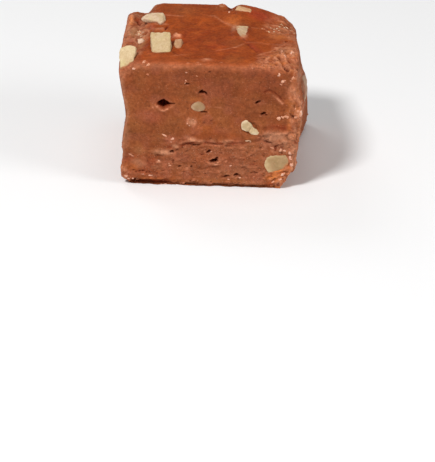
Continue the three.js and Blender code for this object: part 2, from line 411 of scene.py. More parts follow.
# --- the poured top: satin skin, soft wrinkles
skin = TOP * sm(0.05, 0.9, near)
h += TOP * 0.12 * fbm(P, (9, 4, 9), 21, 3)
h += TOP * 0.05 * fbm(P, (2.6, 1.7, 3), 23, 3)
L1 = stroke(TOP, X, Y, [(-15.0, 12.2), (-9.5, 11.6), (-4.6, 13.1), (-0.9, 12.1), (1.9, 8.2), (4.4, 5.6)], 0.34, 0.075, 0.12, 24, 0.4)
L2 = stroke(TOP, X, Y, [(-9.6, -16.6), (-7.6, -15.6), (-4.2, -14.7), (-0.9, -12.9), (2.1, -11.4), (6.0, -8.76), (8.0, -6.4)], 0.3, 0.075, 0.12, 25, 0.4)
L3 = stroke(TOP, X, Y, [(-9.1, -14.1), (-5.4, -17.1)], 0.3, -0.1, 0.15, 26)
L4 = stroke(TOP, X, Y, [(7.7, -3.4), (9.4, -7.2), (11.8, -11.9)], 0.34, -0.16, 0.2, 27, 0.3)
L5 = stroke(TOP, X, Y, [(12.2, -14.2), (14.9, -11.6), (16.8, -8.6), (18.4, -5.5)], 0.5, 0.14, 0.3, 28)
L6 = stroke(TOP, X, Y, [(7.8, 5.0), (11.0, 6.4), (14.0, 9.0)], 0.35, 0.06, 0.2, 29, 0.4)
L7 = stroke(TOP, X, Y, [(8.6, -5.4), (11.5, -5.2), (14.5, -6.0)], 0.35, 0.05, 0.2, 30, 0.3)
for line, k in ((L1, 0.46), (L2, 0.42), (L5, 0.45), (L6, 0.35), (L7, 0.25)):
    raise_to("pale", k * line)
# the two creases painted dark as shade
raise_to("dark", 0.58 * np.maximum(L3, L4))
raise_to("red", 0.8 * TOP * np.exp(-(((X - 10.2 - 0.55 * (-7.4 - Y)) / 0.9) ** 2 + ((Y + 8.0) / 4.2) ** 2)))
lump(TOP, X, Y, 5.9, -8.9, 0.9, 0.35, 25, 0.1, 0.7, 31)
lump(TOP, X, Y, 13.1, -13.8, 0.9, 0.4, 25, 0.12, 0.75, 32)
lump(TOP, X, Y, -0.4, -17.9, 1.25, 0.75, 5, 0.22, 0.95, 33)
for cx, cy in [(-2.4, -20.2), (-1.7, -21.2), (-4.8, -20.9), (3.4, -19.9)]:
    lump(TOP + FRONT, X, Y, cx, cy, 0.4, 0.3, 0, 0.14, 0.85, int(170 + cx * 3))

# --- rough parts of the top: the sunken strip on the left, the front right corner, the back right shoulder
strip = TOP * (1 - sm(-18.4, -16.0, X + 0.9 * noise(P, 3, 41)))
corner = TOP * sm(0.0, 2.5, (X - 12.0) * 0.75 - (Y + 15.5) * 0.5 + 1.2 * noise(P, 2.2, 43)) * sm(-1.0, -6.0, Y)
shoulder = TOP * sm(12.0, 15.5, X + 1.2 * noise(P, 2.5, 45)) * sm(-3, 4, Y)
rimband = TOP * sm(17.8, 19.6, X) * (1 - corner)
torn = np.maximum.reduce([torn, 0.85 * strip, corner, 0.6 * shoulder])
h += strip * (0.5 * fbm(P, 3.0, 51, 3) + 0.24 * fbm(P, 1.2, 53, 2))
grain = np.maximum.reduce([grain, 0.5 * strip, corner, 0.8 * shoulder, 0.5 * rimband])
raise_to("beige", 0.4 * strip * sm(-0.3, 0.5, noise(P, 2.2, 52)))
raise_to("beige", 0.35 * rimband * sm(-0.4, 0.4, noise(P, 2.2, 56)))
raise_to("orange", 0.45 * shoulder)
raise_to("pale", 0.36 * shoulder * sm(-0.25, 0.35, fbm(P, 1.5, 58, 3)))
raise_to("pale", 0.5 * corner * sm(-0.35, 0.35, fbm(P, 1.3, 60, 3)))
h += corner * (0.42 * fbm(P, (2.0, 3.4, 2.4), 55, 3) + 0.26 * fbm(P, 0.95, 57, 2))
h += shoulder * (0.3 * fbm(P, 2.4, 59, 3) + 0.22 * fbm(P, 0.9, 61, 2))
crust = TOP * np.maximum(np.exp(-(((X - 15.4 + 0.3 * (Y - 8)) / 3.4) ** 2 + ((Y - 8.0) / 3.6) ** 2) ** 2), bell(X, 19.6, 2.0) * sm(7, 10, Y))
ds, ts = cells(P + 0.35 * noise(P, 0.8, 168)[:, None], 0.95, 69, 0.6)
h += crust * (0.26 * sm(0.5, 0.12, ds) - 0.12)
# the crust's lumps painted pale, partly as highlight, and the gaps between them dark as shade
raise_to("pale", crust * sm(0.5, 0.15, ds) * sm(0.1, 0.6, ts))
raise_to("beige", 0.5 * crust * sm(-0.1, 0.4, noise(P, 1.6, 67)))
raise_to("dark", 0.5 * crust * sm(0.45, 0.75, ds) * sm(-0.2, 0.4, noise(P, 1.3, 70)))
CD = stroke(TOP, X, Y, [(17.3, -14.0), (17.9, -16.6), (18.7, -18.8), (19.5, -20.8)], 0.28, -0.3, 0.15, 62)
raise_to("dark", 0.35 * CD)
for pts, hh in (([(18.1, -12.4), (18.8, -15.0), (19.3, -17.6)], 0.45), ([(16.7, -15.4), (17.3, -18.0), (18.4, -20.6)], 0.35), ([(20.4, -10.5), (20.7, -14.5), (21.0, -18.0)], 0.3), ([(15.0, -15.4), (14.4, -18.6)], 0.2)):
    raise_to("pale", 0.75 * stroke(TOP, X, Y, pts, 0.38, hh, 0.25, int(180 + pts[0][0]), 0.3))
raise_to("red", 0.3 * TOP * bell(X, 3.0, 5.0) * bell(Y, -7.5, 4.5))
raise_to("pale", 0.75 * TOP * sm(14.5, 16.5, X) * bell(Y, -9.0, 4.5) * sm(-0.2, 0.4, fbm(P, 1.2, 275, 3)))
raise_to("beige", 0.4 * TOP * sm(15, 17.5, X) * bell(Y, -10.0, 3.6) * sm(-0.4, 0.3, noise(P, 1.5, 276)))
for cx, cy, ra, rb, dg, dp in [(17.4, -15.2, 0.46, 1.4, 16, 2.0), (17.7, -12.4, 0.26, 0.9, 8, 1.0), (19.5, -20.7, 0.66, 1.35, 30, 2.2), (15.4, -17.7, 0.46, 0.62, 0, 1.3), (18.6, -2.4, 0.45, 1.3, -8, 0.7), (13.6, -16.2, 0.35, 0.6, 20, 0.35), (16.9, -19.6, 0.3, 0.8, 30, 0.4), (20.2, -17.0, 0.3, 0.9, 10, 0.4), (16.2, -9.8, 0.3, 0.8, -20, 0.35)]:
    pit(TOP, X, Y, cx, cy, ra, rb, dg, dp, wob=0.35, lip=0.7 if dp < 1.2 else 0.3, seed=int(cx * 10), shade=min(1.0, 0.3 + 0.6 * dp))
for cx, cy, ra, rb, hh in [(18.2, -12.2, 0.42, 1.7, 0.5), (14.6, -19.4, 0.8, 0.5, 0.25), (20.2, -20.2, 0.5, 0.7, 0.3), (16.6, -16.4, 0.5, 1.1, 0.25), (14.9, 11.4, 1.1, 0.6, 0.3), (17.6, 10.7, 0.8, 0.5, 0.3), (12.4, 6.2, 0.6, 0.35, 0.3), (13.3, 4.8, 0.5, 0.3, 0.3), (18.4, 6.6, 0.5, 0.9, 0.3), (19.0, 2.0, 0.4, 0.9, 0.3), (16.6, 15.6, 1.0, 0.6, 0.3)]:
    lump(TOP, X, Y, cx, cy, ra, rb, 15, hh, 0.8, int(cx * 7))
# patches of colour on the sunken strip
for nm, cx, cy, ra, rb, k in [("orange", -22.9, 12.4, 0.75, 2.6, 0.5), ("pale", -22.5, 12.2, 0.3, 1.2, 0.7), ("red", -20.9, 12.4, 1.1, 3.2, 0.7), ("beige", -23.4, 6.4, 0.7, 2.4, 0.8), ("oily", -21.2, 3.4, 1.3, 3.0, 0.9), ("red", -21.5, -2.8, 1.4, 1.5, 1.0), ("pale", -19.3, 2.5, 0.9, 1.1, 0.85), ("red", -19.6, 5.6, 1.1, 1.4, 0.6), ("oily", -18.1, -8.4, 1.3, 2.2, 0.85), ("beige", -16.9, -4.4, 0.6, 2.2, 0.5), ("red", -16.4, 3.6, 1.1, 1.8, 0.7), ("red", -19.9, -8.0, 0.8, 1.4, 0.6), ("orange", -22.3, -7.5, 1.0, 2.0, 0.6), ("beige", -23.4, -1.2, 0.5, 3.0, 0.7), ("beige", -15.0, 2.4, 1.4, 0.7, 0.5), ("orange", -16.4, -15.8, 2.4, 1.1, 0.6)]:
    raise_to(nm, k * TOP * np.exp(-(((X - cx) / ra) ** 2 + ((Y - cy) / rb) ** 2) ** 1.5) * (0.8 + 0.35 * noise(P, 0.9, 64)))
for cx, cy, ra, rb, dg, dp, k in [(-20.6, 10.6, 0.5, 2.6, 14, 0.5, 0.35), (-18.3, 6.4, 1.3, 0.45, 8, 0.45, 0.4), (-20.4, 0.2, 0.5, 1.2, -20, 0.45, 0.3), (-18.2, 0.6, 0.8, 0.35, 10, 0.35, 0.3), (-21.8, -5.4, 0.9, 0.4, 0, 0.35, 0.25), (-18.9, 3.9, 0.9, 0.3, -10, 0.3, 0.35), (-16.2, 0.4, 0.4, 1.4, 0, 0.3, 0.3)]:
    pit(TOP, X, Y, cx, cy, ra, rb, dg, dp, wob=0.4, lip=0.5, seed=int(1300 + cx * 9 + cy), shade=k)
for cx, cy, ra, rb, dg, hh, t in [(-21.4, 6.8, 0.8, 2.0, 10, 0.4, 0.3), (-19.8, 2.6, 0.35, 0.7, 20, 0.35, 0.8), (-18.9, 1.6, 0.45, 0.35, 0, 0.35, 0.9), (-19.4, 3.4, 0.5, 0.3, 20, 0.3, 0.8), (-21.9, -0.2, 0.8, 1.2, 0, 0.3, 0.2), (-16.7, -2.0, 0.5, 1.0, 0, 0.3, 0.3)]:
    lump(TOP, X, Y, cx, cy, ra, rb, dg, hh, t, int(1400 + cx * 5))
h += TOP * 0.55 * bell(X, -22.7, 0.7) * bell(Y, 13.4, 2.2)
h += TOP * 0.5 * bell(X, -18.7, 0.8) * bell(Y, 2.0, 1.1)
h -= TOP * 0.35 * bell(X, -17.2, 0.5) * bell(Y, 3.0, 2.4)
for nm, cx, cy, ra, rb, k in [("olive", -21.2, 4.6, 1.0, 2.6, 1.0), ("oily", -21.4, 5.4, 0.8, 1.8, 0.9), ("mauve", -21.4, -2.2, 1.2, 1.6, 1.0), ("amber", -22.8, 11.3, 0.55, 1.9, 1.0), ("beige", -22.6, 13.6, 0.6, 0.8, 0.6), ("beige", -23.2, 7.0, 0.8, 2.2, 1.0), ("beige", -22.2, 2.2, 0.9, 1.8, 0.8), ("olive", -17.9, -6.0, 0.9, 2.4, 0.9), ("mauve", -16.8, 3.6, 1.0, 2.0, 0.7), ("beige", -19.9, 0.8, 0.9, 2.6, 0.55), ("red", -17.8, 7.6, 1.6, 1.0, 0.9), ("beige", -14.4, 5.9, 1.6, 0.7, 0.8), ("mauve", -23.6, 2.0, 0.6, 3.0, 0.8)]:
    raise_to(nm, k * TOP * np.exp(-(((X - cx) / ra) ** 2 + ((Y - cy) / rb) ** 2) ** 1.5) * (0.85 + 0.3 * noise(P, 0.8, 65)))
raise_to("olive", 0.55 * TOP * bell(X, -9.5, 4.5) * bell(Y, 16.0, 4.0))
ring_n = np.hypot((X + 18.6) / 1.5, (Y + 1.2) / 3.8) + 0.12 * noise(P, 0.9, 172)
raise_to("dark", 0.4 * TOP * bell(ring_n, 0.85, 0.14))
raise_to("beige", 0.7 * TOP * bell(ring_n, 1.2, 0.16))
h += TOP * (0.25 * bell(ring_n, 1.2, 0.2) - 0.3 * bell(ring_n, 0.85, 0.16))
raise_to("olive", 0.45 * TOP * sm(0.1, 0.6, noise(P, 6.0, 164)) * sm(-17, -15, X))
raise_to("amber", 0.22 * TOP * bell(X, 4.0, 2.0) * bell(Y, 9.0, 3.5))
raise_to("beige", 0.8 * TOP * np.exp(-(((X - 4.9) / 0.7) ** 2 + ((Y - 4.0) / 2.6) ** 2) ** 1.3))
raise_to("beige", 0.9 * TOP * np.exp(-(((X - 7.7) / 0.85) ** 2 + ((Y + 1.6) / 1.7) ** 2) ** 1.3))
raise_to("pale", 0.5 * TOP * bell(X + 0.9 * (Y - 6.4), 3.9, 0.9) * bell(X, 3.2, 1.3))
raise_to("amber", 0.25 * TOP * bell(X, 16.5, 3.0) * bell(Y, 2.0, 4.0))
raise_to("beige", 0.08 * shoulder * sm(-0.6, 0.2, noise(P, 2.4, 165)))
raise_to("mauve", 0.35 * corner * sm(-0.4, 0.3, noise(P, 1.8, 166)))
raise_to("orange", 0.4 * corner)
raise_to("amber", 0.36 * corner * sm(-0.2, 0.4, noise(P, 1.8, 266)))
# the gap beside the back nut, sunk and painted dark as shade
raise_to("dark", 0.75 * TOP * np.exp(-(((X - 2.9) / 0.7) ** 2 + ((Y - 18.9) / 1.5) ** 2) ** 2))
h -= 0.7 * TOP * np.exp(-(((X - 2.9) / 0.8) ** 2 + ((Y - 18.9) / 1.8) ** 2))
raise_to("red", 0.6 * TOP * np.exp(-((X - 11.0) / 6.0) ** 4) * bell(Y, 19.5 - 0.35 * np.abs(X - 8), 1.4))
# the skin splits beside the square nut and swells over the buried side of the nuts
pit(TOP, X, Y, -12.7, 3.3, 0.28, 2.1, -4, 0.6, wob=0.2, lip=0.15, seed=5, shade=0.75)
lump(TOP, X, Y, -13.9, 2.1, 1.4, 0.8, 6, 0.5, 0.6, 34)
raise_to("dark", 0.25 * TOP * bell(X, -14.0, 1.5) * bell(Y, 3.5, 0.4))
blob = lump(TOP, X, Y, -9.1, -3.2, 1.5, 1.35, 0, 1.0, 0.0, 35, 3)
raise_to("pale", 0.95 * TOP * np.exp(-(((X + 9.2) / 1.15) ** 2 + ((Y + 3.7) / 0.85) ** 2) ** 1.6))
raise_to("dark", 0.3 * TOP * bell(np.hypot((X + 9.1) / 1.5, (Y + 3.2) / 1.45), 1.12, 0.13))
raise_to("red", 0.5 * TOP * bell(X, -7.4, 0.5) * bell(Y, -3.2, 1.0))
h += TOP * 0.45 * bell(X, -14.5, 3.2) * bell(Y, -4.6, 1.7)
h += TOP * 0.4 * bell(X, -18.4, 1.5) * bell(Y, -3.6, 2.0)
h += TOP * 0.42 * bell(X, 7.0, 3.0) * bell(Y, 1.5, 4.6)
h += TOP * 0.3 * bell(X, 6.2, 3.0) * bell(Y, 14.4, 2.2)
raise_to("orange", 0.45 * TOP * bell(X, 1.5, 3.5) * bell(Y, 12.5, 3.0))
raise_to("orange", 0.5 * rimband)
raise_to("red", 0.95 * TOP * np.exp(-(((X - 10.8) / 3.6) ** 2 + ((Y - 15.6) / 3.6) ** 2) ** 2))
pit(TOP, X, Y, 3.2, 19.4, 0.75, 1.5, -30, 0.8, wob=0.4, lip=0.4, seed=66, shade=0.7)
pit(TOP, X, Y, 2.4, 16.6, 0.9, 0.6, 10, 0.3, wob=0.5, lip=0.4, seed=67, shade=0.35)
lump(TOP, X, Y, 0.9, 20.4, 1.3, 0.9, 0, 0.3, 0.5, 68)
for cx, cy in [(1.6, 16.2), (3.6, 15.6), (4.4, 14.2), (2.0, 14.4), (0.6, 15.6), (5.2, 15.2)]:
    pit(TOP, X, Y, cx, cy, 0.28, 0.22, 0, 0.25, wob=0.4, lip=0.3, seed=int(1500 + cx * 13), shade=0.4)
raise_to("red", 0.35 * TOP * sm(0.05, 0.5, fbm(P, 12, 63, 2)))

# --- the front face: knife-cut above, torn below
ledge = step_level(X) + 0.95 * noise(P, 2.6, 71) + 0.5 * noise(P, 0.9, 73)
crisp = sm(11.5, 13.5, X)
under = FRONT * sm(-8.5, -4.0, X) * lerp(sm(0.7, -0.8, Z - ledge), sm(0.2, -0.35, Z - ledge), crisp)
fade = sm(0.3, 5.0, Z)
extra[:, 1] += STEP * under * fade
torn_f = FRONT * sm(0.8, -1.4, Z - ledge) * sm(-14.0, -4.5, X + noise(P, 3, 75)) * 0.85
torn_f = np.maximum(torn_f, FRONT * 0.55 * sm(11.5, 8.0, Z + noise(P, 2, 76)) * sm(-21.0, -13.0, X))
torn = np.maximum(torn, torn_f)
broken_line = sm(0.0, 0.5, noise(P, 1.9, 77) + 0.1)
# the ledge's lip is raised and painted paler as highlight; just under it the fudge is painted darker and redder as
# shade
lipline = FRONT * sm(-8.0, -5.0, X) * bell(Z - ledge, 0.45, 0.45) * lerp(broken_line, 0.55, crisp)
h += 0.24 * lipline
raise_to("pale", 0.4 * lipline)
raise_to("dark", 0.22 * FRONT * sm(-7.0, -4.0, X) * (1 - crisp) * bell(Z - ledge, -0.4, 0.35) * sm(0.2, 0.7, noise(P, 1.3, 79)))
raise_to("red", 0.55 * FRONT * sm(-7.0, -4.0, X) * (1 - crisp) * bell(Z - ledge, -0.2, 0.5) * sm(0.0, 0.5, noise(P, 1.7, 78)))
raise_to("beige", 0.5 * FRONT * sm(-7.0, -4.0, X) * sm(13.0, 10.0, X) * bell(Z - ledge, 0.5, 0.6) * sm(-0.1, 0.4, noise(P, 1.5, 281)))
# a shallow groove above the pink ridge, painted dark as shade
above = FRONT * sm(12.0, 14.0, X) * sm(21.4, 19.6, X) * bell(Z - 16.35 - 0.12 * np.sin(X * 1.3) - 0.25 * noise(P, 1.7, 81), 0, 0.6) * (0.75 + 0.4 * noise(P, 1.2, 80))
h -= 0.26 * above
raise_to("dark", 0.36 * above)

F = FRONT
raise_to("beige", 0.17 * F * bell(X, 6.4, 4.6) * bell(Z, 5.0, 1.7))
raise_to("deep", 0.5 * F * bell(X, 3.0, 4.2) * bell(Z, 17.8, 3.2))
raise_to("olive", 0.5 * F * bell(X, 11.0, 2.2) * bell(Z, 12.0, 2.6))
raise_to("deep", 0.5 * F * sm(7.4, 9.6, Z) * sm(17.0, 14.5, Z) * sm(12, 8, X) * (0.95 + 0.5 * noise(P, 3.2, 271)) * (1 - 0.8 * bell(X, -11.3, 2.4) * sm(10.5, 12.5, Z)))
raise_to("deep", 0.55 * F * sm(-2.0, 3.0, X) * bell(Z, 18.4, 2.6) * (0.95 + 0.4 * noise(P, 2.8, 277)))
raise_to("deep", 0.95 * F * sm(-9.5, -13.5, X + noise(P, 2.4, 272)) * sm(10.5, 8.0, Z + noise(P, 2.4, 273)))
raise_to("red", 0.3 * F * sm(-9.5, -13.5, X) * sm(9.5, 7.0, Z) * sm(-0.3, 0.4, noise(P, 2.2, 274)))
raise_to("dark", 0.17 * F * sm(-9.0, -13.0, X + noise(P, 2.4, 278)) * sm(9.0, 6.5, Z) * (0.8 + 0.5 * noise(P, 1.6, 279)))
raise_to("dark", 0.3 * F * np.exp(-((((X + 14.4) / 1.5) ** 2 + ((Z - 5.4) / 0.9) ** 2) ** 1.3)))
deep = np.maximum(deep, np.clip((FRONT + BACK + LEFT) * sm(20.0, 28.0, Z + 1.6 * noise(P, 6, 72)) * (0.75 + 0.35 * noise(P, 5, 74) + 0.3 * sm(2, 9, X) * FRONT), 0, 1))
grain = np.maximum(grain, torn_f)
# the big diamond hole: painted shade inside; the lower part of its floor painted lighter and redder as lit, and a pale
# spot on its lower left lip painted as highlight
pit(F, X, Z, -11.0, 22.2, 2.1, 1.36, -2, 3.3, kind=0.85, wob=0.12, lip=0.8, seed=11, shade=1.0)
floor_lit = F * np.exp(-(((X + 10.9) / 1.5) ** 2 + ((Z - 21.5) / 0.5) ** 2) ** 1.5)
dark *= 1 - 0.5 * floor_lit
raise_to("red", 0.6 * floor_lit)
pit(F, X, Z, -8.7, 22.45, 0.95, 0.17, 0, 0.7, kind=0.5, wob=0.1, lip=0.5, seed=12)
raise_to("pale", 0.95 * F * bell(X, -12.6, 0.55) * bell(Z, 21.45, 0.3))
lump(F, X, Z, -11.1, 20.5, 0.55, 0.28, 0, 0.14, 0.9, 36)
pit(F, X, Z, -1.2, 25.7, 1.15, 0.46, -3, 1.9, kind=0.3, wob=0.3, lip=0.6, seed=13)
pit(F, X, Z, -0.2, 25.25, 0.62, 0.3, -32, 1.2, kind=0.3, wob=0.25, lip=0.6, seed=14)
pit(F, X, Z, -5.05, 27.85, 0.58, 0.26, 0, 0.8, wob=0.3, lip=0.5, seed=15)
pit(F, X, Z, 0.55, 31.1, 0.42, 0.18, 0, 0.5, wob=0.2, lip=0.1, seed=16)
pit(F, X, Z, -0.63, 28.26, 0.45, 0.2, 0, 0.3, wob=0.3, lip=0.2, seed=17, shade=0.25)
pit(F, X, Z, 12.6, 23.4, 0.8, 0.3, 32, 1.1, kind=0.4, wob=0.2, lip=0.4, seed=18)
pit(F, X, Z, 14.0, 20.4, 0.78, 0.38, 22, 1.2, wob=0.2, lip=0.5, seed=19)
pit(F, X, Z, 14.8, 20.1, 0.5, 0.22, -38, 0.8, wob=0.2, lip=0.3, seed=20)
pit(F, X, Z, -8.95, 9.3, 0.68, 0.36, 5, 1.3, wob=0.25, lip=0.7, seed=21, shade=0.8)
pit(F, X, Z, -7.9, 9.7, 0.5, 0.17, 12, 0.4, wob=0.3, lip=0.4, seed=121, shade=0.3)
pit(F, X, Z, -8.6, 6.85, 0.36, 0.22, 0, 0.5, wob=0.35, lip=0.5, seed=122, shade=0.45)
pit(F, X, Z, -7.15, 5.2, 0.4, 0.2, 0, 0.5, wob=0.35, lip=0.5, seed=123, shade=0.45)
pit(F, X, Z, -4.1, 5.3, 0.3, 0.2, 0, 0.5, wob=0.35, lip=0.5, seed=125, shade=0.45)
pit(F, X, Z, 0.2, 9.5, 0.62, 0.3, 26, 0.9, wob=0.25, lip=0.7, seed=22, shade=0.7)
pit(F, X, Z, 3.6, 9.2, 0.35, 0.17, 0, 0.35, wob=0.3, lip=0.2, seed=23)
pit(F, X, Z, 1.55, 6.95, 1.15, 0.52, 6, 1.9, kind=0.2, wob=0.25, lip=1.0, seed=24, shade=0.85)
raise_to("pale", 0.85 * F * np.exp(-(((X - 1.9) / 1.15) ** 2 + ((Z - 6.2) / 0.3) ** 2)))
lump(F, X, Z, 1.9, 6.15, 1.2, 0.35, 0, 0.2, 0.8, 124)
pit(F, X, Z, 2.35, 7.6, 0.5, 0.38, 40, 1.0, wob=0.3, lip=0.2, seed=25)
pit(F, X, Z, 7.4, 3.4, 0.75, 0.4, 10, 1.5, kind=0.3, wob=0.3, lip=0.6, seed=26, shade=0.8)
pit(F, X, Z, 8.3, 3.15, 0.6, 0.18, -12, 0.7, wob=0.3, lip=0.3, seed=27)
pit(F, X, Z, 4.65, 2.85, 0.85, 0.25, 8, 1.0, kind=0.3, wob=0.3, lip=0.5, seed=28, shade=0.6)
for cx, cz, ra, rb, dp in [(-8.6, 6.4, 0.4, 0.22, 0.4), (-7.0, 5.4, 0.5, 0.16, 0.35), (-4.0, 5.4, 0.32, 0.17, 0.3), (3.8, 4.2, 0.6, 0.16, 0.35), (-5.2, 10.6, 0.6, 0.2, 0.35), (15.7, 12.6, 0.6, 0.2, 0.6), (17.3, 11.6, 0.7, 0.18, 0.5), (-2.9, 11.3, 1.3, 0.22, 0.45), (5.5, 11.3, 0.9, 0.16, 0.35), (13.3, 14.3, 0.8, 0.18, 0.4), (-4.75, 21.35, 0.2, 0.2, 0.45), (-0.8, 20.45, 0.75, 0.2, 0.8), (11.0, 8.6, 0.45, 0.16, 0.3), (9.4, 5.6, 0.6, 0.16, 0.3), (-12.6, 8.2, 0.7, 0.2, 0.25), (-15.2, 6.3, 0.8, 0.24, 0.22), (12.0, 4.1, 0.8, 0.17, 0.35), (-2.4, 8.0, 0.5, 0.14, 0.25), (-12.4, 4.6, 0.9, 0.2, 0.25), (13.4, 10.9, 0.5, 0.18, 0.4), (14.9, 10.0, 0.4, 0.2, 0.35), (18.6, 9.9, 0.7, 0.2, 0.5), (20.9, 20.4, 0.3, 0.45, 0.5), (-11.2, 4.2, 0.5, 0.16, 0.25), (0.6, 4.8, 0.5, 0.15, 0.25), (8.4, 10.2, 0.5, 0.14, 0.25)]:
    pit(F, X, Z, cx, cz, ra, rb, 6 * math.sin(cx * 7), dp, wob=0.45, lip=0.5, seed=int(200 + cx * 9), shade=0.12 + 0.5 * dp)
# shallow dents under the lumps of the ledge, painted darker and redder as shade
for cx, cz, ra, rb, dg, k in [(-4.3, 11.65, 1.4, 0.35, 8, 0.55), (-6.2, 11.0, 1.0, 0.3, 14, 0.4), (-9.4, 10.5, 1.1, 0.35, 4, 0.35), (1.6, 11.6, 1.4, 0.3, -6, 0.3), (5.8, 11.9, 1.2, 0.3, 4, 0.35), (9.2, 12.1, 1.0, 0.3, 6, 0.35), (15.2, 12.8, 1.0, 0.28, -8, 0.45), (17.6, 11.9, 0.8, 0.28, 6, 0.45), (-12.4, 8.0, 1.0, 0.35, 4, 0.3), (-1.6, 8.7, 0.7, 0.22, 0, 0.2), (11.6, 6.4, 0.9, 0.25, 8, 0.25)]:
    u_, v_ = turned(X, Z, cx, cz, dg)
    g_ = F * np.exp(-((u_ / ra) ** 2 + (v_ / rb) ** 2) * (1 + 0.5 * noise(P, 0.8, int(1600 + cx * 3))))
    h -= 0.3 * g_
    raise_to("dark", k * 0.75 * g_)
    raise_to("red", 0.5 * g_)
for cx, cz, ra, rb, dg, dp in [(-18.9, 4.0, 0.35, 0.16, -10, 0.35), (-18.05, 3.62, 0.42, 0.2, 8, 0.6), (-17.3, 3.86, 0.28, 0.16, -20, 0.4), (-16.5, 3.72, 0.48, 0.19, 6, 0.6), (-15.5, 3.5, 0.3, 0.15, 0, 0.4), (-14.8, 3.62, 0.4, 0.16, -14, 0.45), (-13.6, 3.42, 0.34, 0.15, 10, 0.35), (-12.7, 3.2, 0.4, 0.13, -6, 0.3)]:
    pit(F, X, Z, cx, cz, ra, rb, dg, dp, kind=0.3, wob=0.45, lip=0.4, seed=int(160 + cx * 7), shade=0.42)
raise_to("red", 0.5 * F * np.exp(-(((X + 15.8) / 3.2) ** 2 + ((Z - 3.7) / 0.4) ** 2)))
G1 = stroke(F, X, Z, [(-18.4, 3.0), (-16.3, 2.95), (-14.6, 2.75), (-13.2, 2.5)], 0.3, 0.16, 0.25, 81, 0.3)
raise_to("pale", 0.35 * G1)
lump(F, X, Z, -14.6, 2.6, 0.55, 0.2, 0, 0.1, 0.95, 83)
# a flap of fudge pulled loose below a fine crack, and the faint bubble
C1 = stroke(F, X, Z, [(14.4, 26.3), (15.4, 26.75), (16.5, 26.4), (17.6, 25.6), (18.5, 24.6)], 0.25, -0.3, 0.1, 84)
raise_to("dark", 0.5 * C1)
raise_to("dark", 0.3 * F * np.exp(-(((X - 15.2) / 1.0) ** 2 + ((Z - 26.75) / 0.28) ** 2)))
lump(F, X, Z, 17.4, 24.6, 2.4, 0.8, -38, 0.22, 0.18, 85)
raise_to("pale", 0.7 * stroke(F, X, Z, [(16.4, 25.6), (17.6, 24.7), (18.8, 23.4)], 0.28, 0.1, 0.15, 86))
ring = np.hypot(X + 3.9, Z - 17.6)
h += F * (0.3 * bell(ring + 0.25 * noise(P, 0.8, 187), 0.95, 0.3) - 0.2 * bell(ring, 0, 0.6)) * sm(-0.8, 0.1, noise(P, 0.9, 87))
raise_to("pale", F * 0.95 * bell(ring + 0.25 * noise(P, 0.8, 187), 0.95, 0.34) * sm(-0.6, 0.2, noise(P, 0.6, 88)))
raise_to("beige", F * 0.85 * bell(ring, 0.2, 0.85))
for cx, cz, r, k in [(-4.95, 17.4, 0.24, 0.9), (-3.5, 16.5, 0.2, 0.6), (-3.2, 18.4, 0.2, 0.5)]:
    lump(F, X, Z, cx, cz, r, r, 0, 0.08, k, 89)
S1 = stroke(F, X, Z, [(0.3, 22.0), (1.6, 21.9), (3.4, 21.75)], 0.24, 0.06, 0.15, 90)
raise_to("pale", 0.42 * S1)
for cx, cz, ra, rb, dg, hh, t in [(-3.8, 12.85, 1.15, 0.62, -8, 0.75, 1.0), (-4.9, 12.35, 0.9, 0.32, 14, 0.45, 0.8), (-6.4, 11.9, 0.9, 0.28, 14, 0.25, 0.5), (-1.9, 12.6, 0.55, 0.32, 0, 0.3, 0.8), (0.6, 12.5, 0.9, 0.28, -4, 0.25, 0.45), (3.4, 12.6, 0.8, 0.3, 0, 0.28, 0.5), (5.2, 12.8, 0.7, 0.3, 0, 0.3, 0.6), (8.0, 12.8, 0.9, 0.26, 4, 0.26, 0.5), (-7.6, 10.6, 0.7, 0.4, 10, 0.3, 0.55), (-10.8, 8.95, 1.7, 0.55, -4, 0.32, 0.85), (-13.0, 9.3, 0.9, 0.5, 8, 0.25, 0.6), (-10.3, 13.0, 0.8, 0.5, 0, 0.2, 0.4), (-9.0, 12.4, 0.9, 0.7, 0, 0.22, 0.35), (-19.4, 8.3, 0.45, 0.35, 0, 0.2, 0.8), (-12.4, 6.5, 0.75, 0.42, -10, 0.28, 0.9), (-12.6, 4.9, 1.6, 0.9, 0, 0.15, 0.4), (16.5, 13.6, 2.2, 0.9, 0, 0.2, 0.4), (18.3, 14.4, 1.4, 0.6, 10, 0.15, 0.4), (17.0, 12.2, 1.0, 0.4, 0, 0.25, 0.5), (14.6, 11.6, 0.5, 0.9, 20, 0.3, 0.4), (19.4, 13.2, 0.6, 1.2, 0, 0.3, 0.4), (-15.8, 5.6, 1.5, 1.2, 0, 0.2, 0.3), (2.3, 6.1, 1.2, 0.3, 0, 0.2, 0.7), (-1.0, 10.2, 0.8, 0.3, 20, 0.18, 0.4), (-13.6, 21.3, 0.5, 0.3, -30, 0.12, 0.7)]:
    lump(F, X, Z, cx, cz, ra, rb, dg, hh, t, int(300 + cx * 5))
# the pinkish torn patch above the right-hand nut, and the more orange corners
pink = F * sm(-0.6, 0.9, X - 13.6 - 0.5 * (15.2 - Z) + 0.8 * noise(P, 1.5, 91)) * sm(9.0, 10.2, Z) * sm(16.0, 15.1, Z - 0.12 * np.sin(X * 1.3) - 0.25 * noise(P, 1.6, 90))
torn = np.maximum(torn, pink)
grain = np.maximum(grain, pink)
pf = fbm(P, (1.6, 1.0, 1.1), 92, 3)
# the patch is paler, most on its raised parts as painted highlight, and darker in its low parts as painted shade
raise_to("pale", pink * (0.3 + 0.45 * sm(0.05, 0.5, pf)))
raise_to("beige", 0.35 * pink * sm(11.0, 13.2, Z))
raise_to("dark", 0.62 * pink * sm(-0.05, -0.38, pf) * sm(14.8, 12.8, Z))
h += pink * (0.2 + 0.5 * pf)
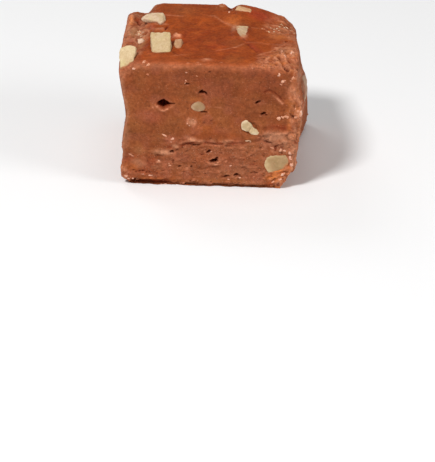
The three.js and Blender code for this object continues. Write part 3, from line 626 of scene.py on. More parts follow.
# the crest of the ridge is raised and painted pale as highlight
crestp = F * sm(13.4, 14.8, X) * sm(21.2, 19.6, X) * bell(Z, 15.15 + 0.12 * np.sin(X * 1.3) + 0.3 * noise(P, 1.8, 90), 0.4) * (0.75 + 0.4 * noise(P, 1.1, 97))
h += 0.24 * crestp
raise_to("pale", 0.8 * crestp)
crumbly = F * np.exp(-(((X - 18.2) / 3.1) ** 2 + ((Z - 10.7) / 1.15) ** 2) ** 1.5)
cf = fbm(P, (0.9, 0.9, 0.7), 95, 3)
h += crumbly * 0.5 * cf
# the crumbly patch is painted pale on its raised parts as highlight and dark in its low parts as shade
raise_to("pale", 0.95 * crumbly * sm(0.05, 0.35, cf))
raise_to("dark", 0.65 * crumbly * sm(-0.08, -0.4, cf))
# folds of brighter, almost orange fudge below that nut, broken into pink crumbs at the corner
for pts, w_, hh, nm, k in [([(17.4, 4.6), (19.0, 5.2), (20.6, 5.9)], 0.45, 0.4, "orange", 1.0), ([(15.8, 2.6), (17.4, 3.2), (19.0, 4.2)], 0.4, 0.35, "orange", 0.9), ([(17.6, 1.2), (18.8, 2.2), (19.8, 3.2)], 0.45, 0.4, "pale", 0.75), ([(14.8, 3.4), (16.2, 3.9)], 0.3, 0.25, "pale", 0.5), ([(20.3, 3.6), (21.2, 5.0), (21.6, 6.4)], 0.35, 0.35, "pale", 0.8)]:
    g_ = stroke(F, X, Z, pts, w_, hh, 0.25, int(1700 + pts[0][0] * 3))
    raise_to(nm, k * g_)
    # a dark crease painted just below each fold as its shadow
    raise_to("dark", 0.3 * stroke(F, X, Z, [(a_ + 0.25, b_ - 0.55) for a_, b_ in pts], 0.22, -0.18, 0.2, int(1720 + pts[0][0] * 3), 0.4))
br = F * sm(15.0, 17.5, X) * sm(6.5, 4.5, Z)
bf_ = fbm(P, (1.0, 1.0, 0.9), 98, 3)
h += br * 0.45 * bf_
# raised parts painted paler as highlight, low parts darker as shade
raise_to("pale", 0.24 * br * sm(0.2, 0.5, bf_))
raise_to("dark", 0.66 * br * sm(-0.12, -0.45, bf_))
raise_to("amber", 0.7 * br * sm(-0.2, 0.3, noise(P, 1.3, 199)))
raise_to("red", 0.6 * br * sm(0.1, -0.3, noise(P, 1.3, 199)))
raise_to("orange", F * sm(-15.5, -19.5, X + 1.2 * noise(P, 3, 93)) * sm(9.0, 5.0, Z) * 0.42)
raise_to("orange", 0.9 * F * sm(14.6, 17.0, X - 0.4 * Z + 1.6) * sm(6.8, 5.2, Z) * sm(-0.9, 0.0, noise(P, 1.6, 99)))
raise_to("orange", F * 0.28 * bell(X, -1.0, 4.0) * bell(Z, 17.0, 3.4))
for nm, cx, cz, ra, rb, k in [("olive", -18.6, 14.2, 3.2, 4.6, 0.75), ("mauve", -14.6, 19.0, 3.4, 1.8, 0.7), ("olive", -10.0, 15.6, 3.4, 1.8, 0.5), ("mauve", -6.0, 29.4, 4.0, 1.8, 0.5), ("olive", 5.0, 28.4, 5.0, 2.2, 0.35), ("amber", -2.8, 23.5, 1.8, 0.8, 0.2), ("amber", -0.6, 15.8, 2.4, 1.4, 0.12), ("mauve", -7.6, 12.0, 3.6, 1.0, 0.7), ("mauve", -10.8, 6.4, 2.6, 1.4, 0.6), ("olive", -12.3, 7.8, 1.3, 0.7, 1.0), ("beige", -10.9, 9.1, 2.1, 0.7, 0.9), ("mauve", -9.2, 12.6, 1.6, 1.2, 0.9), ("olive", 1.0, 1.5, 3.0, 0.8, 0.8), ("amber", 4.4, 1.7, 6.0, 0.45, 0.12), ("olive", 9.0, 1.9, 2.6, 0.8, 0.8), ("beige", -8.2, 10.9, 0.8, 0.5, 0.9), ("beige", -3.7, 12.9, 0.9, 0.55, 0.9), ("beige", -18.0, 6.3, 1.6, 0.9, 0.7), ("beige", -20.6, 13.5, 1.0, 3.4, 0.4), ("olive", -7.9, 11.0, 0.8, 0.5, 0.5), ("amber", -19.4, 5.2, 2.0, 1.2, 0.22), ("beige", -17.2, 5.8, 1.4, 0.9, 0.6), ("red", -14.6, 5.8, 1.0, 0.8, 0.7), ("amber", -13.6, 1.4, 5.0, 0.7, 0.35), ("olive", -6.0, 1.4, 6.0, 0.8, 0.5),
                             ("amber", 19.2, 4.8, 2.1, 1.0, 1.0), ("amber", 16.8, 3.0, 1.9, 0.8, 0.8), ("beige", 17.2, 14.4, 3.4, 1.1, 1.0), ("beige", 19.6, 12.6, 1.4, 1.8, 0.6), ("mauve", 15.4, 12.6, 2.0, 1.6, 0.6), ("red", 18.0, 17.0, 3.4, 0.8, 0.6), ("mauve", 5.0, 7.6, 5.0, 2.4, 0.35), ("olive", 16.4, 22.4, 3.0, 1.6, 0.4), ("mauve", 13.0, 27.8, 4.0, 1.6, 0.45)]:
    raise_to(nm, k * F * np.exp(-(((X - cx) / ra) ** 2 + ((Z - cz) / rb) ** 2) ** 1.4) * (0.85 + 0.3 * noise(P, 1.1, 167)))
raise_to("mauve", 0.5 * F * sm(0.15, 0.6, noise(P, 2.6, 168)))
raise_to("olive", 0.4 * F * sm(0.15, 0.6, noise(P, 4.2, 169)))
raise_to("orange", F * 0.35 * bell(X, 6.0, 2.4) * bell(Z, 14.2, 1.6))
raise_to("orange", F * 0.3 * sm(1.2, 0.3, np.abs(Z - 1.6)) * bell(X, -8, 6))
raise_to("red", F * 0.35 * bell(X, -13.5, 1.6) * bell(Z, 18.5, 1.6))
raise_to("oily", F * 0.45 * bell(X, -12.8, 1.2) * bell(Z, 9.2, 1.0))
raise_to("oily", F * 0.35 * bell(X, -17.2, 1.4) * bell(Z, 9.4, 1.4))
raise_to("oily", F * 0.35 * bell(X, -13.0, 1.5) * bell(Z, 5.0, 0.8))

# --- torn fudge: crumbly relief, drawn out along the face
long_x = np.where((LEFT + RIGHT)[:, None] > 0.5, np.array([[1.0, 2.4, 0.9]]), np.array([[2.4, 1.0, 0.9]]))
q = P / long_x
torn = np.maximum(torn, SIDE * EDGE * 0.75)


def relief(mask, size, seed, depth, holes=1.0, keep=0.5):
    """Little horizontal tears and grains; the tears are painted dark as shade and the raised grains paler, partly as
    painted highlight.
    """
    global h, dark, pale
    f = fbm(q, size, seed, 4, 0.6)
    d1, t1 = cells(q, size * 0.62, seed + 5, keep)
    hole = sm(0.36, 0.1, d1) * (0.25 + 0.75 * t1) * holes
    h += mask * (0.6 * depth * f - depth * 1.1 * hole)
    dark = np.maximum(dark, mask * hole * 0.4 * sm(0.1, 0.5, depth))
    pale = np.maximum(pale, mask * sm(0.2, 0.6, f) * 0.38)


relief(torn_f, 1.6, 94, 0.46, 0.6, 0.35)
gf = fbm(q, 0.75, 191, 2, 0.6)
h += torn_f * 0.16 * gf
raise_to("pale", 0.55 * torn_f * sm(0.2, 0.6, gf))
raise_to("dark", 0.24 * torn_f * sm(-0.2, -0.6, gf))
relief(np.clip(corner * 0.9 + strip * 0.35 + shoulder * 0.6, 0, 1), 1.2, 96, 0.26, 0.8, 0.45)

# --- the right face broke away: a smooth band at the top, long slanting tears, a ragged ridge
slant = np.stack([P[:, 0], P[:, 1] * 0.88 + P[:, 2] * 0.47, -P[:, 1] * 0.47 + P[:, 2] * 0.88], 1)
R = RIGHT
ridge_z = 8.6 + 0.36 * (Y + 16) + 0.9 * noise(P, 3.4, 311) + 0.4 * noise(P, 1.2, 312)
s_r = Z - ridge_z
span_r = sm(-20, -15, Y) * sm(17, 9, Y)
recess = R * span_r * sm(0.5, -0.9, s_r) * sm(-13, -6, s_r)
h -= 0.95 * recess
crestr = R * span_r * bell(s_r, 0.55, 0.6) * sm(-0.3, 0.4, noise(P, 1.5, 313) + 0.15)
h += 0.5 * crestr
raise_to("pale", 0.4 * crestr)
raise_to("orange", 0.6 * crestr)
h += R * (0.5 * fbm(P, (8, 8, 7), 301, 2) + 0.3 * fbm(slant, (3, 6.5, 2.2), 303, 3)) * sm(32, 27, Z) * sm(0, 3, Z)
h += R * 0.1 * fbm(slant, (1.2, 3.2, 0.55), 304, 3)
frontzone = R * sm(-14.5, -18.5, Y + 1.5 * noise(P, 2.5, 305))
footzone = R * sm(7.5, 3.5, Z + 1.5 * noise(P, 3, 306))
rough_r = np.clip(0.22 * R * sm(29, 25, Z) + 0.75 * frontzone + 0.6 * footzone + 0.6 * recess + 0.8 * crestr, 0, 1)
torn = np.maximum(torn, np.clip(rough_r * 1.1 + 0.25 * R, 0, 1))
relief(rough_r, 1.9, 307, 0.42, 0.8, 0.45)
for cy, cz, ra, rb, dg, dp in [(-3.0, 24.2, 2.9, 0.5, 9, 1.6), (-10.6, 23.0, 1.4, 0.34, 6, 1.0), (5.2, 25.4, 2.0, 0.5, 12, 1.5), (10.2, 21.6, 2.8, 0.72, 17, 2.2), (-14.2, 20.2, 0.9, 0.36, 4, 0.8), (-5.8, 19.6, 0.8, 0.3, 0, 0.7), (14.6, 25.8, 1.3, 0.4, 14, 1.0), (-15.4, 12.2, 1.3, 0.62, 16, 1.9), (-12.8, 8.4, 1.1, 0.46, 12, 1.2), (1.6, 12.2, 1.3, 0.34, 20, 1.0), (15.6, 8.4, 1.5, 0.5, -8, 1.2), (-18.4, 6.0, 0.7, 0.5, 0, 1.0), (6.4, 5.2, 1.2, 0.36, 8, 0.9), (-9.0, 27.2, 0.7, 0.24, 4, 0.5), (0.8, 28.6, 0.5, 0.2, 0, 0.4), (17.2, 15.8, 1.0, 0.4, 14, 0.9), (-1.6, 17.2, 1.0, 0.24, 14, 0.6), (-18.8, 17.0, 0.5, 0.7, 0, 0.7), (-17.2, 25.0, 0.6, 0.3, 0, 0.6)]:
    pit(R, Y, Z, cy, cz, ra, rb, dg, dp, kind=0.4, wob=0.34, lip=0.55, seed=int(700 + cy * 13 + cz))
    pit(R, Y, Z, cy + 0.8 * ra, cz + 0.35, 0.45 * ra, 0.6 * rb, dg + 20, 0.6 * dp, kind=0.2, wob=0.4, lip=0.4, seed=int(740 + cy * 11))
raise_to("pale", 0.3 * R * sm(0.15, 0.55, fbm(slant, (3, 5, 1.2), 308, 3)))
raise_to("orange", R * 0.4 * sm(0.0, 0.5, fbm(P, 8, 309, 2)))
raise_to("orange", 0.6 * frontzone * sm(-0.2, 0.4, noise(P, 2.2, 310)))
raise_to("oily", 0.5 * R * np.exp(-(((Y + 8.4) / 2.6) ** 2 + ((Z - 21.4 - 0.25 * (Y + 8.4)) / 0.8) ** 2)))

# --- back and left faces: knife-cut like the front, with their own pits, ledge and tears
for mask, A, seed, low in ((BACK, X, 400, 11.0), (LEFT, Y, 500, 9.0)):
    led = low + 1.6 * np.sin(A * 0.16 + seed) + 0.7 * noise(P, 2.4, seed + 1) + 0.3 * noise(P, 0.9, seed + 2)
    zone = mask * sm(0.6, -1.0, Z - led) * sm(-0.35, 0.25, fbm(P, 13, seed + 2, 2) + 0.1)
    h -= 0.35 * zone * fade
    torn = np.maximum(torn, 0.8 * zone)
    relief(0.9 * zone, 1.6, seed + 3, 0.36, 0.8, 0.4)
    lipz = mask * bell(Z - led, 0.5, 0.45) * sm(0.0, 0.5, noise(P, 2.1, seed + 5)) * sm(-0.35, 0.25, fbm(P, 13, seed + 2, 2) + 0.1)
    h += 0.25 * lipz
    raise_to("pale", 0.4 * lipz)
    rng = np.random.default_rng(seed)
    for k in range(46):
        ca, cb = rng.uniform(-19, 19), rng.uniform(1.8, 31)
        big = k < 5
        ra = rng.uniform(0.9, 1.9) if big else 0.18 + 0.5 * rng.uniform() ** 2.2
        pit(mask, A, Z, ca, cb, ra, ra * rng.uniform(0.3, 0.55), rng.normal() * 12, (1.3 + 0.8 * ra) if big else 0.15 + 1.2 * ra, kind=rng.uniform(0, 0.7), wob=0.3, lip=0.6, seed=seed + 10 + k)
    raise_to("orange", mask * 0.45 * sm(0.15, 0.6, fbm(P, 9, seed + 4, 2)))
    raise_to("red", mask * 0.3 * sm(0.15, 0.6, fbm(P, 7, seed + 6, 2)))
    cr = stroke(mask, A, Z, [(6.0, 27.0), (8.5, 26.2), (11.0, 24.3), (12.0, 22.0)] if seed == 400 else [(-14.0, 17.6), (-11.0, 18.6), (-7.5, 18.0), (-5.0, 16.6)], 0.2, -0.3, 0.2, seed + 7, 0.4)
    raise_to("dark", 0.4 * cr)

# --- fine pits and grain of the cut faces
d2, t2 = cells(P / np.array([1.35, 1.35, 1.0]), 1.7, 601, 0.4)
micro = SIDE * sm(0.16, 0.05, d2) * (t2 > 0.3)
h -= 0.22 * micro
# the fine pits painted darker as shade
raise_to("dark", 0.3 * micro)
d3, t3 = cells(P / np.array([1.2, 1.2, 1.0]), 1.5, 603, 0.3)
grainy = SIDE * sm(0.15, 0.06, d3)
h += 0.07 * grainy
raise_to("pale", 0.5 * grainy * (0.4 + 0.6 * t3))

# --- arrises: scuffed, crumbly at the sides, ragged along the foot
side_edge = EDGE * SIDE * (1 - sm(0.25, 0.6, TOP))
h += EDGE * 0.16 * fbm(P, 1.5, 621, 3)
h += side_edge * 0.3 * fbm(P, (1.4, 1.4, 1.9), 623, 3)
fr_edge = sm(17.6, 20.6, grid[:, 0]) * sm(-18.8, -21.4, grid[:, 1])
h += fr_edge * (0.4 * fbm(P, (1.5, 1.5, 2.0), 625, 3) - 0.1)
torn = np.maximum(torn, 0.9 * fr_edge)
raise_to("orange", 0.75 * fr_edge * sm(-0.3, 0.3, noise(P, (2, 2, 4), 626) + 0.1))
raise_to("pale", 0.7 * fr_edge * sm(-0.2, 0.35, fbm(P, 1.6, 627, 3)))
raise_to("dark", 0.3 * fr_edge * sm(-0.15, -0.5, fbm(P, 1.4, 628, 3)))
zone_ra = sm(19.6, 21.2, X + 0.5 * noise(P, 1.4, 641)) * sm(-20.0, -21.2, Y) * sm(13.0, 15.5, Z) * sm(28.5, 26.0, Z)
raise_to("orange", 0.8 * zone_ra)
raise_to("amber", 0.45 * zone_ra * sm(-0.3, 0.4, noise(P, (1.2, 1.2, 2.4), 655)))
grain = np.maximum(grain, zone_ra)
h += zone_ra * (0.34 * fbm(P, (1.2, 1.2, 1.6), 643, 3))
raise_to("pale", 0.45 * zone_ra * sm(0.1, 0.5, fbm(P, (1.2, 1.2, 1.6), 643, 3)))
raise_to("beige", 0.24 * sm(20.2, 21.4, X) * sm(-18.5, -20.6, Y) * sm(12, 15, Z) * sm(31, 29, Z) * sm(-0.7, 0.1, noise(P, 1.3, 743)))
raise_to("beige", 0.85 * RIGHT * sm(-9, -18.5, Y + 4.0 * noise(P, 5.0, 644) + 1.5 * noise(P, 1.8, 646)) * sm(22, 17, Z) * sm(-0.6, 0.2, noise(P, 2.0, 645)))
raise_to("beige", 0.55 * RIGHT * sm(-10, -17, Y + 2.0 * noise(P, 3.0, 647)) * np.maximum(bell(Z, 29.3, 1.4), bell(Z, 19.8, 1.4)))
kink = RIGHT * sm(2, -8, Y) * bell(Z, 5.4, 1.7)
h += kink * (0.75 * fbm(P, (2.4, 2.4, 2.0), 648, 3) - 0.3)
raise_to("pale", 0.4 * kink * sm(0.0, 0.5, fbm(P, 1.6, 658, 3)))
CURL = sm(-19.4, -20.8, Y)
A1 = stroke(CURL, X, Z, [(21.5, 26.6), (22.5, 24.7), (23.25, 23.0), (23.5, 21.2), (22.7, 20.0)], 0.42, 0.3, 0.2, 645)
raise_to("pale", 0.8 * A1)
pit(CURL, X, Z, 21.6, 19.8, 0.6, 0.4, -40, 0.7, wob=0.4, lip=0.8, seed=646)
pit(CURL, X, Z, 21.9, 22.6, 0.35, 0.8, 10, 0.35, wob=0.4, lip=0.3, seed=647, shade=0.25)
lump(CURL, X, Z, 21.2, 18.6, 0.7, 0.5, 0, 0.3, 0.5, 648)
side_ra = sm(20.6, 21.6, X) * sm(-19.0, -21.0, Y) * sm(13.5, 11.5, Z) * sm(3.5, 5.5, Z)
raise_to("beige", 0.5 * side_ra)
raise_to("pale", 0.5 * side_ra * sm(-0.1, 0.5, fbm(P, 1.2, 649, 3)))
h += side_ra * 0.3 * fbm(P, (1.0, 1.0, 1.4), 650, 3)
# pinkish scuffs down the left arris
side_la = EDGE * SIDE * sm(-20.5, -21.6, grid[:, 0]) * sm(-19.0, -21.0, grid[:, 1])
raise_to("beige", 0.7 * side_la * sm(-0.5, 0.2, noise(P, (1.4, 1.4, 2.2), 651)))
band = sm(2.6, 0.4, near + 0.35 * noise(P, 1.3, 630)) * sm(26.0, 30.0, Z) * (0.8 + 0.3 * noise(P, (2.4, 2.4, 1), 629))
raise_to("orange", 0.6 * TOP * sm(-16.4, -19.6, Y + 0.7 * noise(P, 2.6, 632)) * sm(-17, -15, X) * sm(15, 12, X) * (0.9 + 0.4 * noise(P, 1.2, 634)))
# along the top arris the band is painted paler and more orange: partly scuffed fudge, partly painted highlight where
# the edge faces the light
raise_to("pale", 0.4 * band * lerp(1.2, 0.95, sm(-14, 4, X)) * lerp(1.0, 0.85, sm(4, 12, X)))
raise_to("beige", 0.12 * band * sm(-6, -16, X))
raise_to("orange", 0.4 * band)
# in two places the skin keeps its colour up to the rim
keeps = TOP * np.maximum(bell(X, -12.6, 3.0) * bell(Y, -18.4, 2.2), 0.8 * bell(X, 7.5, 4.0) * bell(Y, -17.6, 3.0))
pale *= 1 - 0.75 * keeps
raise_to("pale", 0.5 * TOP * np.exp(-(((X + 0.7) / 1.8) ** 2 + ((Y + 18.7) / 0.9) ** 2)) * (0.8 + 0.4 * noise(P, 0.9, 283)))
beige *= 1 - 0.75 * keeps
orange *= 1 - 0.6 * keeps
# the black hearts of the corner's cracks, painted as shade
for cx, cy, ra, rb in [(17.5, -15.0, 0.3, 0.7), (19.6, -21.1, 0.42, 0.75), (15.5, -17.8, 0.3, 0.36)]:
    raise_to("dark", 0.95 * TOP * np.exp(-(((X - cx) / ra) ** 2 + ((Y - cy) / rb) ** 2) ** 1.4))
foot = sm(2.2, 0.3, Z)
h += foot * sm(0.0, 0.5, Z) * (0.34 * fbm(P, (1.6, 1.6, 1.2), 631, 3) + 0.05)
# the foot is drawn in unevenly under the faces, so that it meets the table in a ragged shadow
ragged = sm(1.5 + 0.8 * noise(P, 2.2, 633), 0.2, Z)
tuck = 0.42 + 0.38 * noise(P, 2.6, 635) + 0.2 * noise(P, 0.9, 637)
inward = -Nn.copy(); inward[:, 2] = 0
extra += inward * (ragged * np.clip(tuck, 0, 1))[:, None]
# the front left corner is rounded off and a little curled; the foot beside it is undercut
cl = sm(-17.5, -21.5, X) * sm(-17.5, -21.0, Y)
curl = bell(X, -21.9, 1.6) * bell(Y, -21.9, 1.6) * bell(Z, 4.2, 1.8)
extra[:, 0] -= 0.35 * curl
extra[:, 1] -= 0.5 * curl
chip = cl * sm(2.4, 0.1, Z + 0.4 * noise(P, 1.1, 661))
extra[:, 0] += 1.5 * chip * sm(-19.0, -21.8, X)
extra[:, 1] += 0.7 * chip
cr_ = fbm(P, (0.9, 0.9, 0.8), 665, 3)
h += np.maximum(curl, cl * sm(4.5, 2.0, Z)) * 0.4 * cr_
raise_to("pale", 0.75 * np.maximum(curl, cl * bell(Z, 2.2, 1.2)) * sm(-0.3, 0.3, cr_))
raise_to("grain", np.maximum(curl, cl * sm(4.0, 2.0, Z)))
raise_to("beige", 0.7 * np.maximum(curl, cl * bell(Z, 2.6, 1.7)) * sm(-0.6, 0.2, cr_))
raise_to("orange", 0.4 * FRONT * bell(X, -19.6, 1.4) * sm(7.5, 5.5, Z))
# the undercut foot, painted dark as shadow
under_l = FRONT * sm(-20.8, -19.0, X) * sm(-6.0, -12.5, X) * sm(1.75, 1.05, Z + 0.25 * noise(P, 1.3, 663))
extra[:, 1] += 1.3 * under_l
raise_to("dark", 0.6 * under_l)
under_r = FRONT * sm(18.0, 14.0, X) * sm(-9.0, -5.0, X) * sm(0.9, 0.3, Z + 0.25 * noise(P, 1.3, 667))
extra[:, 1] += 0.7 * under_r

# --- the walnut pockets: the fudge lies just under each sliced nut and laps up to the others; a dark ring is painted round each nut as shade in the seam
NUTS = {n: o for n, o in frame["nodes"].items() if n.startswith("nut_")}
for n, o in NUTS.items():
    v = np.array([p.co for p in o.data.vertices]) * 1000 - np.array([SHIFT, 0, 0])
    lo, hi = v.min(0), v.max(0)
    c, s = (lo + hi) / 2, (hi - lo) / 2
    if n == "nut_right_tall":
        d = np.hypot((Y - c[1]) / s[1], (Z - c[2]) / s[2])
        wide = (X > 15) * sm(1.7, 1.2, d)
        h = lerp(h, 0.15 * h, wide)
        h += (X > 15) * (0.12 * bell(d, 1.05, 0.2) - 0.5 * sm(0.8, 0.6, d))
        raise_to("dark", 0.22 * (X > 15) * bell(d, 0.97, 0.08))
    elif n.startswith("nut_front") or n.startswith("nut_back_") or n.startswith("nut_left"):
        ax = 0 if n.startswith("nut_left") else 1
        oth = 1 - ax
        mask = LEFT if ax == 0 else (FRONT if n.startswith("nut_front") else BACK)
        A = P[:, oth]
        outer = lo[ax] if (n.startswith("nut_front") or ax == 0) else hi[ax]
        flat = v[np.abs(v[:, ax] - outer) < 0.5]
        fc, fs = (flat.min(0) + flat.max(0)) / 2, (flat.max(0) - flat.min(0)) / 2
        d = np.hypot((A - fc[oth]) / fs[oth], (Z - fc[2]) / fs[2])
        h -= mask * 0.5 * sm(0.95, 0.7, d)
        raise_to("dark", 0.3 * mask * bell(d, 1.04, 0.07))
        raise_to("pale", 0.25 * mask * bell(d, 1.16, 0.1) * (0.6 + 0.6 * noise(P, 0.9, 171)))
    elif n.startswith("nut_top"):
        d = np.hypot((X - c[0]) / s[0], (Y - c[1]) / s[1])
        h += 0.24 * TOP * bell(d, 1.12, 0.28)
        raise_to("dark", 0.2 * TOP * bell(d, 1.0, 0.12))

h *= 1 - sm(0.12, 0.0, Z)
V = P + Nn * h[:, None] + extra
V[ijk[:, 2] == 0, 2] = 0.0
V[:, 2] = np.maximum(V[:, 2], 0.0)
soft = blur(h, 14)
# painted shade: the hollows of the relief, darkened later in the colour
cavity = np.clip((soft - h) / 0.35, 0, 1)
# raised crests of the relief, paler later in the colour: partly crumbly wear, partly painted highlight
crest = np.clip((h - soft) / 0.25, 0, 1)
V[:, 0] += SHIFT


def to_mesh(name, verts_mm, quads_, extra_faces=()):
    me = bpy.data.meshes.new(name)
    nq = len(quads_)
    loops = np.concatenate([np.asarray(quads_).ravel()] + [np.asarray(f).ravel() for f in extra_faces]).astype(np.int32)
    sizes = np.concatenate([np.full(nq, np.asarray(quads_).shape[1])] + [[len(f)] for f in extra_faces]).astype(np.int32)
    starts = np.concatenate([[0], np.cumsum(sizes)[:-1]]).astype(np.int32)
    me.vertices.add(len(verts_mm))
    me.vertices.foreach_set("co", (np.asarray(verts_mm, np.float64) / 1000).astype(np.float32).ravel())
    me.loops.add(len(loops))
    me.loops.foreach_set("vertex_index", loops)
    me.polygons.add(len(sizes))
    me.polygons.foreach_set("loop_start", starts)
    me.polygons.foreach_set("loop_total", sizes)
    me.update(calc_edges=True)
    me.validate()
    me.polygons.foreach_set("use_smooth", np.arange(len(me.polygons)) < nq)
    ob = bpy.data.objects.new(name, me)
    bpy.context.scene.collection.objects.link(ob)
    return ob


def attribute(me, name, *columns):
    a = me.attributes.new(name, "FLOAT_COLOR", "POINT")
    v = np.ones((len(columns[0]), 4), np.float32)
    for k, c in enumerate(columns):
        v[:, k] = np.clip(c, 0, 1)
    a.data.foreach_set("color", v.ravel())


block = to_mesh("fudge_square", V, quad, [rim[::-1]])
attribute(block.data, "zones", skin * (1 - np.clip(strip * 0.75 + corner * 0.85 + shoulder * 0.4, 0, 1)), pale, dark)
attribute(block.data, "form", torn, orange, cavity)
attribute(block.data, "touch", red, crest, oily)
attribute(block.data, "tone", deep, grain, beige)
attribute(block.data, "tint", amber, olive, mauve)

# UV charts named OFBake: one for each face of the square, in a three by two sheet
uv = block.data.uv_layers.new(name="OFBake")
nl = len(block.data.loops)
lv = np.empty(nl, np.int32)
block.data.loops.foreach_get("vertex_index", lv)
side_of_loop = np.concatenate([np.repeat(quad_side, 4), np.full(nl - 4 * len(quad), 5)])
pl = V[lv]
charts = {0: (0, 2), 1: (0, 2), 2: (1, 2), 3: (1, 2), 4: (0, 1), 5: (0, 1)}
place = {0: (0.0, 0.0), 1: (1 / 3, 0.0), 2: (2 / 3, 0.0), 3: (0.0, 0.5), 4: (1 / 3, 0.5), 5: (2 / 3, 0.5)}
span = {0: (-26, 26), 1: (-24, 24), 2: (-1, 37)}
uvs = np.zeros((nl, 2))
for s_, (a_, b_) in charts.items():
    m = side_of_loop == s_
    for k, ax in enumerate((a_, b_)):
        lo_, hi_ = span[ax]
        cell = (1 / 3, 0.5)[k]
        uvs[m, k] = place[s_][k] + cell * (0.01 + 0.98 * (pl[m, ax] - lo_) / (hi_ - lo_))
uv.data.foreach_set("uv", uvs.astype(np.float32).ravel())


# ---------------------------------------------------------------- materials
def lin(r, g, b):
    f = lambda c: ((c / 255 + 0.055) / 1.055) ** 2.4 if c / 255 > 0.04045 else c / 255 / 12.92
    return (f(r), f(g), f(b), 1.0)


class Nodes:
    def __init__(self, name):
        self.mat = bpy.data.materials.new(name)
        self.mat.use_nodes = True
        self.tree = self.mat.node_tree
        self.tree.nodes.clear()
        self.out = self.tree.nodes.new("ShaderNodeOutputMaterial")
        self.bsdf = self.tree.nodes.new("ShaderNodeBsdfPrincipled")
        self.link(self.bsdf.outputs[0], self.out.inputs["Surface"])
        co = self.tree.nodes.new("ShaderNodeTexCoord")
        self.co = self.vec("MULTIPLY", co.outputs["Object"], (1000, 1000, 1000))

    def link(self, a, b):
        self.tree.links.new(a, b)

    def put(self, socket, value):
        if isinstance(value, bpy.types.NodeSocket):
            self.link(value, socket)
        else:
            socket.default_value = value

    def vec(self, op, a, b=(0, 0, 0)):
        n = self.tree.nodes.new("ShaderNodeVectorMath")
        n.operation = op
        self.put(n.inputs[0], a)
        self.put(n.inputs[1], b)
        return n.outputs[0]

    def math(self, op, a, b=0.0, clamp=False):
        n = self.tree.nodes.new("ShaderNodeMath")
        n.operation = op
        n.use_clamp = clamp
        self.put(n.inputs[0], a)
        self.put(n.inputs[1], b)
        return n.outputs[0]

    def noise(self, scale, detail=4.0, rough=0.55, stretch=None, seed=0.0, distort=0.0):
        n = self.tree.nodes.new("ShaderNodeTexNoise")
        n.noise_dimensions = "4D"
        co = self.vec("MULTIPLY", self.co, stretch) if stretch else self.co
        self.put(n.inputs["Vector"], co)
        n.inputs["W"].default_value = seed
        n.inputs["Scale"].default_value = scale
        n.inputs["Detail"].default_value = detail
        n.inputs["Roughness"].default_value = rough
        n.inputs["Distortion"].default_value = distort
        return n.outputs["Fac"]

    def cells(self, scale, stretch=None):
        n = self.tree.nodes.new("ShaderNodeTexVoronoi")
        co = self.vec("MULTIPLY", self.co, stretch) if stretch else self.co
        self.put(n.inputs["Vector"], co)
        n.inputs["Scale"].default_value = scale
        return n.outputs["Distance"]

    def ramp(self, fac, lo, hi, a=0.0, b=1.0):
        n = self.tree.nodes.new("ShaderNodeMapRange")
        n.interpolation_type = "SMOOTHSTEP"
        n.clamp = True
        self.put(n.inputs["Value"], fac)
        for k, v in (("From Min", lo), ("From Max", hi), ("To Min", a), ("To Max", b)):
            n.inputs[k].default_value = v
        return n.outputs[0]

    def mix(self, fac, a, b, kind="MIX"):
        n = self.tree.nodes.new("ShaderNodeMix")
        n.data_type = "RGBA"
        n.blend_type = kind
        n.clamp_factor = True
        self.put(n.inputs[0], fac)
        self.put(n.inputs[6], a)
        self.put(n.inputs[7], b)
        return n.outputs[2]

    def grey(self, fac):
        n = self.tree.nodes.new("ShaderNodeCombineColor")
        for k in range(3):
            self.link(fac, n.inputs[k])
        return n.outputs[0]

    def attr(self, name):
        n = self.tree.nodes.new("ShaderNodeAttribute")
        n.attribute_name = name
        s = self.tree.nodes.new("ShaderNodeSeparateColor")
        self.link(n.outputs["Color"], s.inputs[0])
        return s.outputs[0], s.outputs[1], s.outputs[2]

    def bump(self, height, distance_mm, strength=1.0, normal=None):
        n = self.tree.nodes.new("ShaderNodeBump")
        n.inputs["Strength"].default_value = strength
        n.inputs["Distance"].default_value = distance_mm / 1000
        self.put(n.inputs["Height"], height)
        if normal is not None:
            self.link(normal, n.inputs["Normal"])
        return n.outputs[0]


SKIN_A, SKIN_B, SKIN_C = lin(148, 65, 22), lin(162, 76, 28), lin(136, 54, 17)
CUT_A, CUT_B, CUT_C = lin(150, 81, 44), lin(138, 71, 38), lin(163, 94, 57)
PALE, ROSE, DARK, AMBER, RED, OIL = lin(222, 150, 112), lin(186, 106, 74), lin(90, 14, 3), lin(176, 86, 34), lin(156, 56, 32), lin(166, 118, 76)


